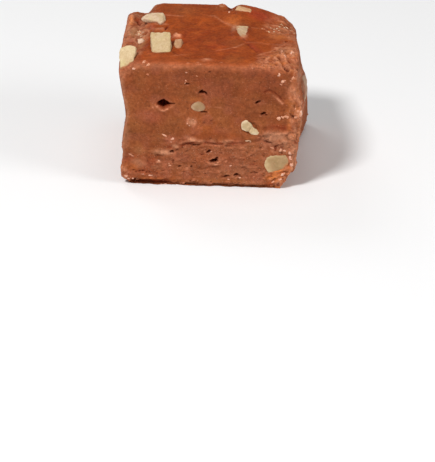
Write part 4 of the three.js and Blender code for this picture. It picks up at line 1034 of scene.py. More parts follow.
def fudge_material():
    m = Nodes("fudge")
    skin_, pale_, dark_ = m.attr("zones")
    torn_, orange_, cavity_ = m.attr("form")
    red_, crest_, oily_ = m.attr("touch")
    deep_, grain_, beige_ = m.attr("tone")
    amber_, olive_, mauve_ = m.attr("tint")
    broad = m.noise(0.085, 3, 0.5, seed=1)
    mid = m.noise(0.33, 4, 0.55, seed=2)
    streak = m.noise(0.5, 4, 0.6, stretch=(0.35, 0.35, 1.5), seed=3)
    fine = m.noise(1.7, 5, 0.65, seed=4)
    grit = m.noise(4.5, 3, 0.7, seed=5)
    # poured skin
    skin = m.mix(m.ramp(broad, 0.35, 0.65), SKIN_A, SKIN_C)
    skin = m.mix(m.ramp(mid, 0.42, 0.72, 0, 0.7), skin, SKIN_B)
    skin = m.mix(m.ramp(m.noise(0.8, 4, 0.6, stretch=(0.8, 1.3, 1), seed=6), 0.5, 0.8, 0, 0.32), skin, lin(184, 92, 40))
    skin = m.mix(m.ramp(m.noise(0.16, 4, 0.6, seed=12), 0.5, 0.68, 0, 0.4), skin, lin(162, 70, 20))
    skin = m.mix(m.ramp(m.noise(0.5, 4, 0.6, seed=16), 0.52, 0.34, 0, 0.45), skin, lin(128, 46, 15))
    skin = m.mix(m.ramp(m.noise(0.3, 4, 0.62, seed=18), 0.5, 0.68, 0, 0.4), skin, lin(178, 84, 30))
    # cut body
    cut = m.mix(m.ramp(broad, 0.3, 0.7), CUT_A, CUT_B)
    cut = m.mix(m.ramp(streak, 0.42, 0.75, 0, 0.6), cut, CUT_C)
    cut = m.mix(m.ramp(m.noise(0.2, 3, 0.5, seed=8), 0.5, 0.75, 0, 0.5), cut, lin(156, 76, 38))
    cut = m.mix(m.ramp(fine, 0.55, 0.8, 0, 0.45), cut, lin(176, 108, 76))
    cut = m.mix(m.ramp(fine, 0.42, 0.2, 0, 0.4), cut, lin(112, 54, 30))
    cut = m.mix(deep_, cut, (0.835, 0.77, 0.755, 1), "MULTIPLY")
    cut = m.mix(m.math("MULTIPLY", grain_, m.ramp(mid, 0.3, 0.7, 0.0, 0.4)), cut, lin(176, 108, 76))
    cut = m.mix(m.math("MULTIPLY", grain_, m.ramp(mid, 0.5, 0.3, 0.0, 0.35)), cut, lin(128, 64, 38))
    colour = m.mix(skin_, cut, skin)
    # torn and scuffed fudge is whiter and pinker, buried fudge redder and darker; hollows are painted darker and holes
    # and creases near black as shade, and lips, crests and raised grains paler, partly as painted highlight
    speck = m.ramp(m.noise(2.6, 4, 0.6, seed=9), 0.52, 0.7)
    colour = m.mix(m.math("MULTIPLY", torn_, m.math("MULTIPLY", speck, 0.4)), colour, lin(190, 122, 88))
    colour = m.mix(m.math("MULTIPLY", orange_, 0.85), colour, m.mix(m.ramp(mid, 0.4, 0.7), AMBER, lin(156, 70, 30)))
    colour = m.mix(m.math("MULTIPLY", red_, 0.75), colour, RED)
    colour = m.mix(m.math("MULTIPLY", oily_, 0.8), colour, OIL)
    colour = m.mix(m.math("MULTIPLY", olive_, 0.62), colour, m.mix(deep_, lin(150, 90, 48), lin(134, 75, 38)))
    colour = m.mix(m.math("MULTIPLY", mauve_, 0.7), colour, m.mix(deep_, lin(168, 94, 70), lin(142, 72, 50)))
    colour = m.mix(m.math("MULTIPLY", amber_, 0.9), colour, lin(236, 138, 68))
    # paler fudge: partly scuffs and crumbs, partly painted highlight on lips, crests and raised grains
    colour = m.mix(m.math("MULTIPLY", pale_, m.ramp(fine, 0.25, 0.62, 0.6, 1.0)), colour, m.mix(pale_, ROSE, PALE))
    # raised crests of torn fudge paler: partly crumbly wear, partly painted highlight
    colour = m.mix(m.math("MULTIPLY", crest_, m.math("MULTIPLY", torn_, 0.4)), colour, lin(208, 134, 96))
    # painted shade in the hollows of the relief
    colour = m.mix(m.math("MULTIPLY", cavity_, 0.6), colour, lin(98, 40, 20))
    colour = m.mix(m.math("MULTIPLY", beige_, 0.7), colour, lin(202, 142, 108))
    # painted shade: holes, tears, creases and grooves are darkened towards a near-black brown
    colour = m.mix(m.ramp(dark_, 0.0, 0.95), colour, m.mix(m.ramp(dark_, 0.4, 0.9), lin(110, 34, 11), DARK))
    # pale grains and dark nicks too small for the mesh; the nicks are dents in the bump, painted dark as shade
    bare = m.math("SUBTRACT", 1.0, skin_, clamp=True)
    spot = m.math("MULTIPLY", m.ramp(m.cells(1.9, stretch=(0.75, 0.75, 1.3)), 0.3, 0.1), m.ramp(m.noise(0.7, 2, 0.5, seed=14), 0.4, 0.54))
    nick = m.math("MULTIPLY", m.ramp(m.cells(1.25, stretch=(0.5, 0.5, 1.5)), 0.24, 0.08), m.ramp(m.noise(0.6, 2, 0.5, seed=15), 0.44, 0.56))
    some = m.math("MULTIPLY", bare, m.math("ADD", 0.26, m.math("MULTIPLY", grain_, 0.7)))
    some = m.math("MULTIPLY", some, m.ramp(dark_, 0.15, 0.5, 1.0, 0.0))
    colour = m.mix(m.math("MULTIPLY", spot, some), colour, lin(214, 148, 114))
    colour = m.mix(m.math("MULTIPLY", nick, m.math("MULTIPLY", some, 0.9)), colour, lin(106, 42, 20))
    # fine mottling
    mottle = m.math("ADD", m.ramp(grit, 0.25, 0.75, 0.88, 1.12), m.ramp(fine, 0.3, 0.7, -0.15, 0.15))
    mottle = m.math("ADD", mottle, m.ramp(m.noise(0.95, 4, 0.6, seed=17), 0.32, 0.68, -0.1, 0.1))
    mottle = m.math("ADD", mottle, m.ramp(m.noise(0.3, 3, 0.6, seed=19), 0.32, 0.68, -0.09, 0.09))
    mottle = m.math("ADD", mottle, m.ramp(m.noise(0.18, 3, 0.6, seed=21), 0.35, 0.65, -0.04, 0.04))
    colour = m.mix(1.0, colour, m.grey(mottle), "MULTIPLY")
    m.link(colour, m.bsdf.inputs["Base Color"])
    # gloss: the skin is satin, the cut is matt, crumbs and wet spots catch the light
    rough = m.math("SUBTRACT", m.ramp(fine, 0.3, 0.7, 0.84, 0.7), m.math("MULTIPLY", skin_, 0.3))
    rough = m.math("SUBTRACT", rough, m.math("MULTIPLY", torn_, 0.08))
    m.link(rough, m.bsdf.inputs["Roughness"])
    m.bsdf.inputs["Specular IOR Level"].default_value = 0.11
    # relief finer than the mesh
    pore = m.ramp(m.cells(1.6, stretch=(0.6, 0.6, 1.3)), 0.02, 0.2)
    side = m.math("SUBTRACT", 1.0, skin_)
    tex = m.math("ADD", m.math("MULTIPLY", fine, 0.9), m.math("MULTIPLY", grit, 0.35))
    tex = m.math("ADD", tex, m.math("MULTIPLY", pore, 0.5))
    tex = m.math("MULTIPLY", tex, m.math("ADD", m.math("MULTIPLY", side, 0.6), m.math("MULTIPLY", torn_, 0.8)))
    smooth = m.math("MULTIPLY", m.noise(1.1, 4, 0.55, stretch=(0.8, 1.15, 1), seed=11), m.math("MULTIPLY", skin_, 0.7))
    tex = m.math("ADD", tex, smooth)
    tex = m.math("ADD", tex, m.math("MULTIPLY", m.math("SUBTRACT", spot, nick), m.math("MULTIPLY", some, 1.4)))
    m.link(m.bump(tex, 0.24, 0.9), m.bsdf.inputs["Normal"])
    return m.mat


block.data.materials.append(fudge_material())
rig.ride(block, "root")
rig.replaces(block, "fudge_block")
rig.slot(block, "fudge")


# ---------------------------------------------------------------- walnuts
# colours of the paler rims of the sliced nut faces: partly the nut's own edge, partly painted highlight
RIM = {"nut_front_diagonal": (228, 204, 168), "nut_front_right": (206, 178, 134), "nut_front_oval": (196, 164, 126)}


def walnut_material(name, body, shade, film, film_amount):
    m = Nodes(name)
    film_, husk_, cav_ = m.attr("nut")
    rim_, spare_, spare2_ = m.attr("slice")
    mid = m.noise(0.55, 4, 0.55, seed=1)
    fine = m.noise(2.4, 5, 0.6, seed=2)
    fibre = m.noise(1.6, 4, 0.6, stretch=(2.2, 0.6, 1.2), seed=3)
    colour = m.mix(m.ramp(mid, 0.36, 0.62), lin(*body), lin(*shade))
    colour = m.mix(m.ramp(m.noise(0.4, 3, 0.5, seed=7), 0.5, 0.7, 0, 0.4), colour, lin(shade[0] * 0.93, shade[1] * 0.98, shade[2] * 0.86))
    colour = m.mix(m.ramp(fibre, 0.5, 0.8, 0, 0.5), colour, lin(*[min(255, c + 10) for c in body]))
    colour = m.mix(m.ramp(fine, 0.55, 0.75, 0, 0.35), colour, lin(*[c * 0.86 for c in shade]))
    colour = m.mix(m.ramp(m.noise(1.2, 4, 0.6, seed=11), 0.54, 0.68, 0, 0.5), colour, lin(*[min(255, c * 1.08) for c in body]))
    colour = m.mix(m.ramp(m.noise(1.0, 4, 0.6, seed=13), 0.46, 0.34, 0, 0.45), colour, lin(shade[0] * 0.92, shade[1] * 0.9, shade[2] * 0.86))
    colour = m.mix(m.ramp(m.noise(0.28, 3, 0.5, seed=9), 0.46, 0.7, 0, 0.5), colour, lin(body[0] * 0.95, body[1] * 0.99, body[2] * 0.84))
    # paler rim of a sliced face: partly the nut's own edge, partly painted highlight
    colour = m.mix(m.math("MULTIPLY", rim_, m.ramp(mid, 0.3, 0.65, 0.55, 1.0)), colour, lin(*RIM.get("nut_" + name[7:], [min(255, c + 8) for c in body])))
    # painted shade in the nut's hollows
    colour = m.mix(m.math("MULTIPLY", cav_, 0.5), colour, lin(170, 124, 80))
    colour = m.mix(m.math("MULTIPLY", husk_, m.ramp(fine, 0.3, 0.6, 0.6, 1.0)), colour, m.mix(m.ramp(mid, 0.4, 0.6), lin(150, 92, 44), lin(118, 66, 30)))
    smear = m.math("MULTIPLY", film_, m.ramp(m.noise(0.9, 4, 0.6, seed=4), 0.25, 0.6, 0.35, 1.0))
    if film_amount:
        veil = m.ramp(m.noise(0.45, 3, 0.55, seed=5), 0.35, 0.7, film_amount * 0.6, min(1, film_amount * 1.3))
        smear = m.math("MAXIMUM", smear, veil)
    colour = m.mix(smear, colour, lin(*film))
    m.link(colour, m.bsdf.inputs["Base Color"])
    m.link(m.ramp(fine, 0.3, 0.7, 0.6, 0.45), m.bsdf.inputs["Roughness"])
    m.bsdf.inputs["Specular IOR Level"].default_value = 0.25
    tex = m.math("ADD", m.math("MULTIPLY", fine, 0.7), m.math("MULTIPLY", fibre, 0.5))
    m.link(m.bump(tex, 0.1, 0.5), m.bsdf.inputs["Normal"])
    return m.mat


CREAM, CREAM_D = (226, 199, 156), (212, 182, 138)
GREY, GREY_D = (190, 158, 120), (172, 138, 100)
LOOK = {
    "nut_top_square": ((207, 180, 141), (197, 168, 125), (160, 82, 46), 0.0),
    "nut_top_corner": ((217, 193, 152), (206, 178, 136), (170, 98, 54), 0.0),
    "nut_top_wedge": ((215, 187, 157), (200, 167, 133), (176, 102, 64), 0.0),
    "nut_top_small": ((242, 214, 186), (224, 186, 156), (176, 106, 74), 0.05),
    "nut_top_sliver": ((200, 162, 126), (172, 128, 92), (186, 118, 82), 0.18),
    "nut_top_veiled": ((208, 181, 148), (190, 158, 124), (184, 116, 74), 0.1),
    "nut_top_back": ((214, 178, 136), (202, 154, 112), (190, 106, 60), 0.06),
    "nut_top_back_small": ((200, 140, 102), (180, 118, 82), (158, 78, 44), 0.3),
    "nut_top_edge": ((208, 148, 110), (190, 124, 88), (166, 86, 50), 0.35),
    "nut_front_diagonal": ((208, 179, 138), (192, 165, 123), (180, 120, 80), 0.0),
    "nut_front_right": ((182, 149, 108), (168, 136, 95), (204, 118, 62), 0.03),
    "nut_front_oval": ((176, 142, 112), (162, 127, 97), (150, 86, 54), 0.15),
    "nut_right_tall": ((184, 150, 122), (166, 132, 104), (158, 100, 72), 0.3),
    "nut_right_low": (CREAM, CREAM_D, (160, 86, 52), 0.1),
    "nut_right_high": (GREY, GREY_D, (150, 84, 52), 0.3),
    "nut_back_high": (CREAM, CREAM_D, (160, 90, 56), 0.0),
    "nut_back_low": ((204, 172, 130), (188, 152, 112), (160, 90, 56), 0.08),
    "nut_back_small": (GREY, GREY_D, (150, 86, 54), 0.2),
    "nut_left_low": ((208, 176, 136), (192, 158, 118), (160, 90, 56), 0.05),
    "nut_left_high": (CREAM, CREAM_D, (160, 90, 56), 0.0),
}
HUSK = {"nut_right_high": (0.2, 0.6, -0.8), "nut_back_low": (0.7, 0.2, -0.6), "nut_left_low": (-0.2, 0.8, 0.5), "nut_right_low": (0.3, -0.8, 0.5), "nut_top_wedge": (-0.2, 0.9, 0.2)}


def mesh_arrays(me):
    v = np.empty(len(me.vertices) * 3, np.float32)
    me.vertices.foreach_get("co", v)
    n = np.empty(len(me.vertices) * 3, np.float32)
    me.vertices.foreach_get("normal", n)
    e = np.empty(len(me.edges) * 2, np.int32)
    me.edges.foreach_get("vertices", e)
    return v.reshape(-1, 3).astype(float) * 1000, n.reshape(-1, 3).astype(float), e.reshape(-1, 2)


def relax(v, e, times, k=0.5):
    deg = np.bincount(e.ravel(), minlength=len(v)).astype(float)
    for _ in range(times):
        s = np.stack([np.bincount(e[:, 0], v[e[:, 1], j], len(v)) + np.bincount(e[:, 1], v[e[:, 0], j], len(v)) for j in range(v.shape[1])], 1)
        v = (1 - k) * v + k * s / np.maximum(deg, 1)[:, None]
    return v


ROUNDER = {"nut_front_right": 9, "nut_front_oval": 18, "nut_right_tall": 22}


def make_nut(name, src):
    small = max(src.dimensions) < 0.0035
    tmp = bpy.data.objects.new("tmp", src.data.copy())
    bpy.context.scene.collection.objects.link(tmp)
    mod = tmp.modifiers.new("remesh", "REMESH")
    mod.mode = "VOXEL"
    mod.voxel_size = 0.00011 if small else 0.00015
    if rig.quick():
        mod.voxel_size = 0.00022
    bpy.context.view_layer.update()
    me = bpy.data.meshes.new_from_object(tmp.evaluated_get(bpy.context.evaluated_depsgraph_get()))
    bpy.data.objects.remove(tmp)
    me.name = name + "_nut"
    v, n, e = mesh_arrays(me)
    before = (v.max(0) - v.min(0), (v.max(0) + v.min(0)) / 2)
    v = relax(v, e, ROUNDER.get(name, 20 if name[4:8] in ("back", "left") else 7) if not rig.quick() else 3)
    size, mid_ = v.max(0) - v.min(0), (v.max(0) + v.min(0)) / 2
    v = (v - mid_) * np.minimum(before[0] / size, 1.12) + before[1]     # rounding the corners costs no size
    me.vertices.foreach_set("co", (v / 1000).astype(np.float32).ravel())
    me.update()
    v, n, e = mesh_arrays(me)
    seed = sum(ord(c) for c in name)
    sliced = name.startswith("nut_front") or name.startswith("nut_back_") or name.startswith("nut_left")
    out = np.array([0, 0, 0.0])
    if name.startswith("nut_front"): out = np.array([0, -1, 0.0])
    if name.startswith("nut_back_"): out = np.array([0, 1, 0.0])
    if name.startswith("nut_left"): out = np.array([-1, 0, 0.0])
    flat = sm(0.8, 0.97, n @ out) if sliced else np.zeros(len(v))
    amp = 1 - 0.8 * flat
    d = 0.18 * fbm(v, 1.9, seed, 3) + 0.08 * fbm(v, 0.7, seed + 1, 3)
    chips, _ = cells(v, 2.4, seed + 2)
    d += 0.14 * (sm(0.25, 0.7, chips) - 0.5)
    d *= 0.55 if small else 1.0
    v2 = v + n * (d * amp)[:, None]
    # painted shade: the hollows of the nut's surface, darkened in its colour
    cav = np.clip((relax(d[:, None], e, 8)[:, 0] - d) / 0.06, 0, 1)
    w = v2 - np.array([SHIFT, 0, 0])
    if name == "nut_front_diagonal":
        for cx, cz, k in [(11.75, 17.0, 0.25), (9.7, 15.1, 0.2)]:
            g_ = np.exp(-(((w[:, 0] - cx) / 0.75) ** 2 + ((w[:, 2] - cz) / 0.75) ** 2))
            v2[:, 0] += k * g_ * (10.7 - w[:, 0]) / 1.5
            v2[:, 2] += k * g_ * (16.1 - w[:, 2]) / 1.5
        v2[:, 1] += 0.35 * sliced * bell((w[:, 0] - 10.6) * 0.72 - (w[:, 2] - 16.0) * 0.55, 0.2, 0.35)
    if name == "nut_front_oval":
        bc, bs = (w.max(0) + w.min(0)) / 2, (w.max(0) - w.min(0)) / 2
        u_ = (w[:, 0] - bc[0]) / bs[0]
        v2[:, 2] = bc[2] + (v2[:, 2] - bc[2]) * (1.14 - 0.55 * np.abs(u_) ** 1.7) - 0.12 * u_
    if (sliced and name[4:8] in ("back", "left")) or name == "nut_right_tall":
        bc, bs = (w.max(0) + w.min(0)) / 2, (w.max(0) - w.min(0)) / 2
        i0, i1 = (1, 2) if name[4:8] in ("left", "righ") or name == "nut_right_tall" else (0, 2)
        far = np.hypot((w[:, i0] - bc[i0]) / bs[i0], (w[:, i1] - bc[i1]) / bs[i1])
        pull = np.where(far > 0.72, (0.72 + (far - 0.72) * 0.42) / np.maximum(far, 1e-6), 1.0) * 1.1
        for k in (i0, i1):
            v2[:, k] += (w[:, k] - bc[k]) * (pull - 1)
        w = v2 - np.array([SHIFT, 0, 0])
    if sliced:
        across = 1 - np.abs(out)
        far_side = name[4:8] in ("back", "left")
        wv = (0.34 if far_side else 0.26) * noise(v * across, 2.2 if far_side else 1.5, seed + 9) + 0.14 * noise(v * across, 0.7, seed + 10)
        v2 += n * (wv * (1 - flat))[:, None] * across
    if name == "nut_top_wedge":
        g_ = np.exp(-(((w[:, 0] + 14.6) / 0.9) ** 2)) * sm(8.9, 7.4, w[:, 1])
        v2[:, 1] -= 1.1 * g_
    film = np.zeros(len(v))
    if name.startswith("nut_top"):
        over = w[:, 2] - top_level(w[:, 0], w[:, 1])
        film = sm(0.7, 0.1, over + 0.3 * noise(v, 0.8, seed + 3))
        if name == "nut_top_veiled":
            v2[:, 2] -= 0.12
            bc, bs = (w.max(0) + w.min(0)) / 2, (w.max(0) - w.min(0)) / 2
            film = np.maximum(film, 0.8 * sm(0.5, 1.0, np.hypot((w[:, 0] - bc[0] - 0.3) / bs[0], (w[:, 1] - bc[1]) / bs[1]) + 0.3 * noise(v, 1.1, seed + 4)))
    elif name.startswith("nut_right"):
        if name == "nut_right_tall":
            v2[:, 0] -= 0.75 * sm(25.6, 28.4, w[:, 2]) + 0.5 * sm(23.4, 21.0, w[:, 2]) + 0.6 * sm(-11.0, -9.0, w[:, 1])
            w = v2 - np.array([SHIFT, 0, 0])
        over = w[:, 0] - right_edge(w[:, 1], w[:, 2])
        film = sm(0.6, 0.0, over + 0.35 * noise(v, 0.9, seed + 3))
        if name == "nut_right_tall":
            v2[:, 1:] += n[:, 1:] * (0.4 * noise(v * np.array([0, 1, 1]), 2.4, seed + 9))[:, None]
            film = np.maximum(0.8 * sm(0.5, 0.0, over + 0.4 * noise(v, 1.1, seed + 3)), sm(0.6, 0.98, np.hypot((w[:, 1] + 13.9) / 5.0, (w[:, 2] - 24.5) / 3.9) + 0.22 * noise(v, 1.6, seed + 5)))
    elif name == "nut_front_right":
        film = sm(0.2, 1.6, (w[:, 0] - 18.4) * 0.8 - (w[:, 2] - 6.2) * 0.75 + 0.5 * noise(v, 1.0, seed)) * 0.8
    elif name == "nut_front_oval":
        film = sm(0.5, 1.1, np.hypot((w[:, 0] + 2.3) / 1.9, (w[:, 2] - 21.7) / 1.35)) * 0.55
    husk = np.zeros(len(v))
    if name in HUSK:
        a = np.array(HUSK[name]); a = a / np.linalg.norm(a)
        husk = sm(0.35, 0.8, n @ a + 0.3 * noise(v, 1.6, seed + 6))
    me.vertices.foreach_set("co", (v2 / 1000).astype(np.float32).ravel())
    me.polygons.foreach_set("use_smooth", np.ones(len(me.polygons), bool))
    me.update()
    attribute(me, "nut", film, husk, cav)
    slice_rim = np.zeros(len(v))
    if sliced:
        ca = np.abs(out).argmax()
        ia = [k for k in range(3) if k != ca]
        face_ = flat > 0.5
        fc = (w[face_].max(0) + w[face_].min(0)) / 2
        fs = (w[face_].max(0) - w[face_].min(0)) / 2
        slice_rim = sm(0.5, 0.95, np.hypot((w[:, ia[0]] - fc[ia[0]]) / fs[ia[0]], (w[:, ia[1]] - fc[ia[1]]) / fs[ia[1]]) + 0.45 * noise(v, 1.3, seed + 8))
        # on two nuts the paler rim, a painted highlight, is kept to the lit left side
        if name == "nut_front_right":
            slice_rim *= sm(1.6, -1.2, (w[:, 0] - fc[0]) * 0.7 - (w[:, 2] - fc[2]) * 0.1)
        if name == "nut_front_oval":
            slice_rim *= sm(0.8, -0.6, (w[:, 0] - fc[0]) + 0.4 * (w[:, 2] - fc[2]))
    attribute(me, "slice", slice_rim, 0 * slice_rim, 0 * slice_rim)
    ob = bpy.data.objects.new("walnut_" + name[4:], me)
    bpy.context.scene.collection.objects.link(ob)
    me.materials.clear()
    me.materials.append(walnut_material("walnut_" + name[4:], *LOOK[name]))
    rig.ride(ob, "root")
    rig.replaces(ob, name)
    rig.slot(ob, "walnut")
    return ob


for n_, o_ in sorted(NUTS.items()):
    make_nut(n_, o_)


# ---------------------------------------------------------------- crumbs, joined meshes placed on the surface just made
def ball(level):
    import bmesh
    bm = bmesh.new()
    bmesh.ops.create_icosphere(bm, subdivisions=level, radius=1.0)
    v = np.array([p.co for p in bm.verts])
    f = np.array([[p.index for p in face.verts] for face in bm.faces])
    bm.free()
    return v, f


BALLS = {1: ball(1), 2: ball(2), 3: ball(3)}
NRM = vertex_normals(V)


def crumbs(name, spots, material):
    """spots: (place in mm, normal, two directions along the surface, three half sizes, seed)"""
    vs, fs, base = [], [], 0
    for at, n, t, b, s, seed in spots:
        bv, bf = BALLS[2 if max(s) < 0.32 else 3]
        w = bv + seed * 3.7
        q_ = bv * (1 + 0.42 * noise(w, 0.85, seed) + 0.2 * noise(w, 0.4, seed + 1) + 0.08 * noise(w, 0.2, seed + 2))[:, None]
        q_ = q_ * np.array(s)
        vs.append(at + n * (s[2] * 0.1) + q_[:, :1] * t + q_[:, 1:2] * b + q_[:, 2:] * n)
        fs.append(bf + base)
        base += len(bv)
    at_ = np.concatenate(vs)
    at_[:, 2] = np.maximum(at_[:, 2], 0.0)
    ob = to_mesh(name, at_, np.concatenate(fs))
    ob.data.materials.append(material)
    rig.ride(ob, "root")
    return ob


def nearest(x, y, z):
    return int(np.argmin(((V - np.array([x + SHIFT, y, z])) ** 2).sum(1)))


def flakes(spots, seed):
    """Each spot (x, y, z, length, width, tilt in degrees) is a flake lying on the surface, with a smaller bit or two by it."""
    out = []
    for i, (x, y, z, la, lb, tilt) in enumerate(spots):
        rng = np.random.default_rng(seed + 31 * i)
        v0 = nearest(x, y, z)
        n = NRM[v0]
        t = np.array([1.0, 0.0, 0.0]) - n * n[0]
        t /= np.linalg.norm(t)
        b = np.cross(n, t)
        if b[2] < 0 and abs(n[2]) < 0.7 or b[1] < 0 and abs(n[2]) >= 0.7:
            b = -b
        a = math.radians(tilt)
        t, b = t * math.cos(a) + b * math.sin(a), -t * math.sin(a) + b * math.cos(a)
        out.append((V[v0], n, t, b, (la, lb, 0.6 * min(la, lb)), seed + 10 + 7 * i))
        for k in range(int(rng.integers(1, 3))):
            w_, far = rng.uniform(0, math.tau), rng.uniform(1.1, 1.5)
            at = V[v0] + t * la * far * math.cos(w_) + b * lb * far * math.sin(w_)
            vi = int(np.argmin(((V - at) ** 2).sum(1)))
            r = 0.5 * lb * rng.uniform(0.6, 1.1)
            out.append((at + n * np.dot(V[vi] - at, n), NRM[vi], t, b, (r * 1.3, r, 0.6 * r), seed + 12 + 7 * i + k))
    return out


def crumb_material(name, a, b, c, gloss):
    m = Nodes(name)
    big = m.noise(0.22, 2, 0.5, seed=1)
    mid = m.noise(1.2, 3, 0.6, seed=2)
    fine = m.noise(4.0, 4, 0.6, seed=3)
    colour = m.mix(m.ramp(big, 0.42, 0.58), lin(*a), lin(*b))
    colour = m.mix(m.ramp(mid, 0.5, 0.7), colour, lin(*c))
    m.link(colour, m.bsdf.inputs["Base Color"])
    m.link(m.ramp(fine, 0.3, 0.7, 0.48, 0.3), m.bsdf.inputs["Roughness"])
    m.bsdf.inputs["Specular IOR Level"].default_value = gloss
    m.link(m.bump(fine, 0.12, 0.8), m.bsdf.inputs["Normal"])
    return m.mat


rng = np.random.default_rng(77)
# pale glossy crumbs set at the glints: partly real crumbs, partly painted highlight
bright = [(17.9, -22, 19.45, 0.5, 0.38, 10), (18.9, -22, 19.5, 0.3, 0.3, 0), (19.8, -22, 19.85, 0.58, 0.26, 8), (20.2, -22, 19.5, 0.22, 0.2, 0), (17.9, -22, 31.1, 0.3, 0.3, 0), (18.9, -22, 29.2, 0.42, 0.4, 0), (18.3, -22, 28.5, 0.3, 0.12, -30), (-10.8, -22, 13.75, 0.7, 0.19, -24), (-8.8, -22, 12.85, 0.32, 0.27, 10), (-9.2, -22, 12.2, 0.16, 0.12, 0),
          (-5.4, -22, 28.6, 0.18, 0.16, 0), (-5.5, -22, 28.0, 0.2, 0.16, 0), (-15.88, -20.9, 33, 0.22, 0.5, -20), (-14.64, -22, 32.7, 0.4, 0.26, 20), (-18.2, -22, 31.5, 0.34, 0.2, 0), (22.8, -21.2, 20.6, 0.95, 0.48, 55), (22.0, -21.8, 19.7, 0.4, 0.3, 20), (22.5, -21.6, 21.4, 0.3, 0.24, 60), (22.2, -21.4, 21.6, 0.4, 0.16, 70), (22.9, -20.8, 23.4, 0.5, 0.15, 80), (-19.4, -22, 8.3, 0.5, 0.1, -18), (-19.0, -22, 7.85, 0.42, 0.09, -10), (-9.3, -22, 5.4, 0.3, 0.16, -30), (-9.8, -22, 6.1, 0.16, 0.12, 0),
          (21.25, -22, 30.2, 0.5, 0.22, 60), (19.3, -22, 3.9, 0.5, 0.28, 40), (21.0, -22, 8.4, 0.3, 0.45, 0), (21.2, -22, 6.6, 0.4, 0.35, 0), (20.7, -22, 10.0, 0.3, 0.34, 0), (19.6, -22, 10.5, 0.34, 0.2, -10), (18.6, -22, 10.5, 0.42, 0.26, 20), (16.2, -22, 11.3, 0.4, 0.16, -20), (17.9, -12.2, 33, 0.24, 0.62, 8), (18.5, -14.1, 33, 0.22, 0.5, 12), (20.6, -12.4, 33, 0.3, 0.5, 0), (-5.0, -22, 30.9, 0.2, 0.15, 0), (-4.85, -22, 17.35, 0.15, 0.12, 0), (-3.4, -22, 18.4, 0.12, 0.09, 0), (-4.5, -22, 16.8, 0.12, 0.09, 0),
          (2.7, 14.8, 33.4, 0.24, 0.3, 0), (-20.7, -22, 2.2, 0.36, 0.24, -30), (-20.0, -22, 1.4, 0.4, 0.24, -30), (-18.9, -22, 1.0, 0.3, 0.26, 0), (-10.6, -22, 0.5, 0.3, 0.2, 0), (-11.6, -22, 0.5, 0.22, 0.16, 0), (16.6, -22, 1.9, 0.5, 0.16, 30), (18.6, -22, 2.6, 0.4, 0.2, 40), (-14.6, -22, 2.6, 0.5, 0.13, -4), (-16.4, -22, 2.95, 0.3, 0.1, 0), (5.8, -22, 5.7, 0.2, 0.16, 0), (-12.2, -22, 6.6, 0.3, 0.18, 0), (8.2, -22, 2.6, 0.3, 0.12, 0), (5.4, -22, 2.3, 0.28, 0.12, 0), (1.0, -22, 9.6, 0.3, 0.1, 20), (2.2, -22, 6.1, 0.4, 0.12, 0)]
crumbs("bright_crumbs", flakes(bright, 900), crumb_material("glint_crumb", (232, 172, 142), (222, 152, 114), (242, 200, 176), 0.5))
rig.slot(bpy.data.objects["bright_crumbs"], "fudge")
weight = np.clip(2.2 * side_edge * (grid[:, 2] < 31) + 1.2 * fr_edge + 0.9 * corner + 0.35 * strip + 0.6 * shoulder + 0.5 * rough_r + 1.6 * crestr + 0.16 * torn_f + 0.8 * foot * FRONT, 0, 2.5) * (Z > 0.35)
weight = weight / weight.sum()
pick = rng.choice(len(V), size=380, replace=False, p=weight)
loose = []
for i, v_ in enumerate(pick):
    r = 0.08 + 0.24 * rng.uniform() ** 2.2
    n = NRM[v_]
    t = np.cross(n, [0.3, 0.2, 0.9]); t /= np.linalg.norm(t)
    a = rng.uniform(0, math.tau)
    b = np.cross(n, t)
    loose.append((V[v_], n, t * math.cos(a) + b * math.sin(a), -t * math.sin(a) + b * math.cos(a), (r * rng.uniform(0.9, 1.7), r * rng.uniform(0.65, 1.1), 0.6 * r), 1000 + i))
crumbs("fudge_crumbs", loose, crumb_material("fudge_crumb", (186, 110, 74), (166, 88, 48), (206, 134, 96), 0.3))
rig.slot(bpy.data.objects["fudge_crumbs"], "fudge")
bits = [(-19.5, 1.6, 31.6, 0.45, 0.4, 20), (-18.7, 0.4, 31.6, 0.3, 0.3, 0), (-18.2, -1.8, 31.6, 0.35, 0.4, 0), (-17.4, -3.6, 31.6, 0.3, 0.4, 0), (-18.9, -4.6, 31.6, 0.35, 0.35, 0), (10.2, -22, 12.85, 0.55, 0.22, 4), (10.9, -22, 12.6, 0.2, 0.15, 0), (-18.7, 1.9, 31.6, 0.4, 0.5, 0), (-19.6, 3.2, 31.6, 0.3, 0.34, 20), (13.0, 5.4, 32.3, 0.3, 0.22, 0), (13.7, 4.5, 32.3, 0.34, 0.24, 0), (11.9, 6.3, 32.3, 0.2, 0.2, 0), (14.9, 8.2, 32, 0.2, 0.3, 0), (15.6, 10.0, 32, 0.18, 0.26, 0), (16.1, 8.9, 31.6, 0.18, 0.2, 0), (14.0, 9.4, 32, 0.16, 0.2, 0), (16.2, 11.2, 31.4, 0.2, 0.24, 0), (16.6, 13.4, 31, 0.26, 0.3, 0), (18.2, 13.6, 30.4, 0.26, 0.3, 0), (15.2, 6.6, 32, 0.18, 0.22, 0), (17.4, 11.8, 31, 0.2, 0.24, 0), (19.2, 12.6, 30, 0.22, 0.26, 0), (20.1, 10.4, 30.2, 0.22, 0.34, 0), (-17.6, -7.4, 32, 0.34, 0.5, 0)]
crumbs("walnut_crumbs", flakes(bits, 500), crumb_material("walnut_crumb", (226, 190, 156), (212, 168, 130), (234, 208, 180), 0.35))
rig.slot(bpy.data.objects["walnut_crumbs"], "walnut")

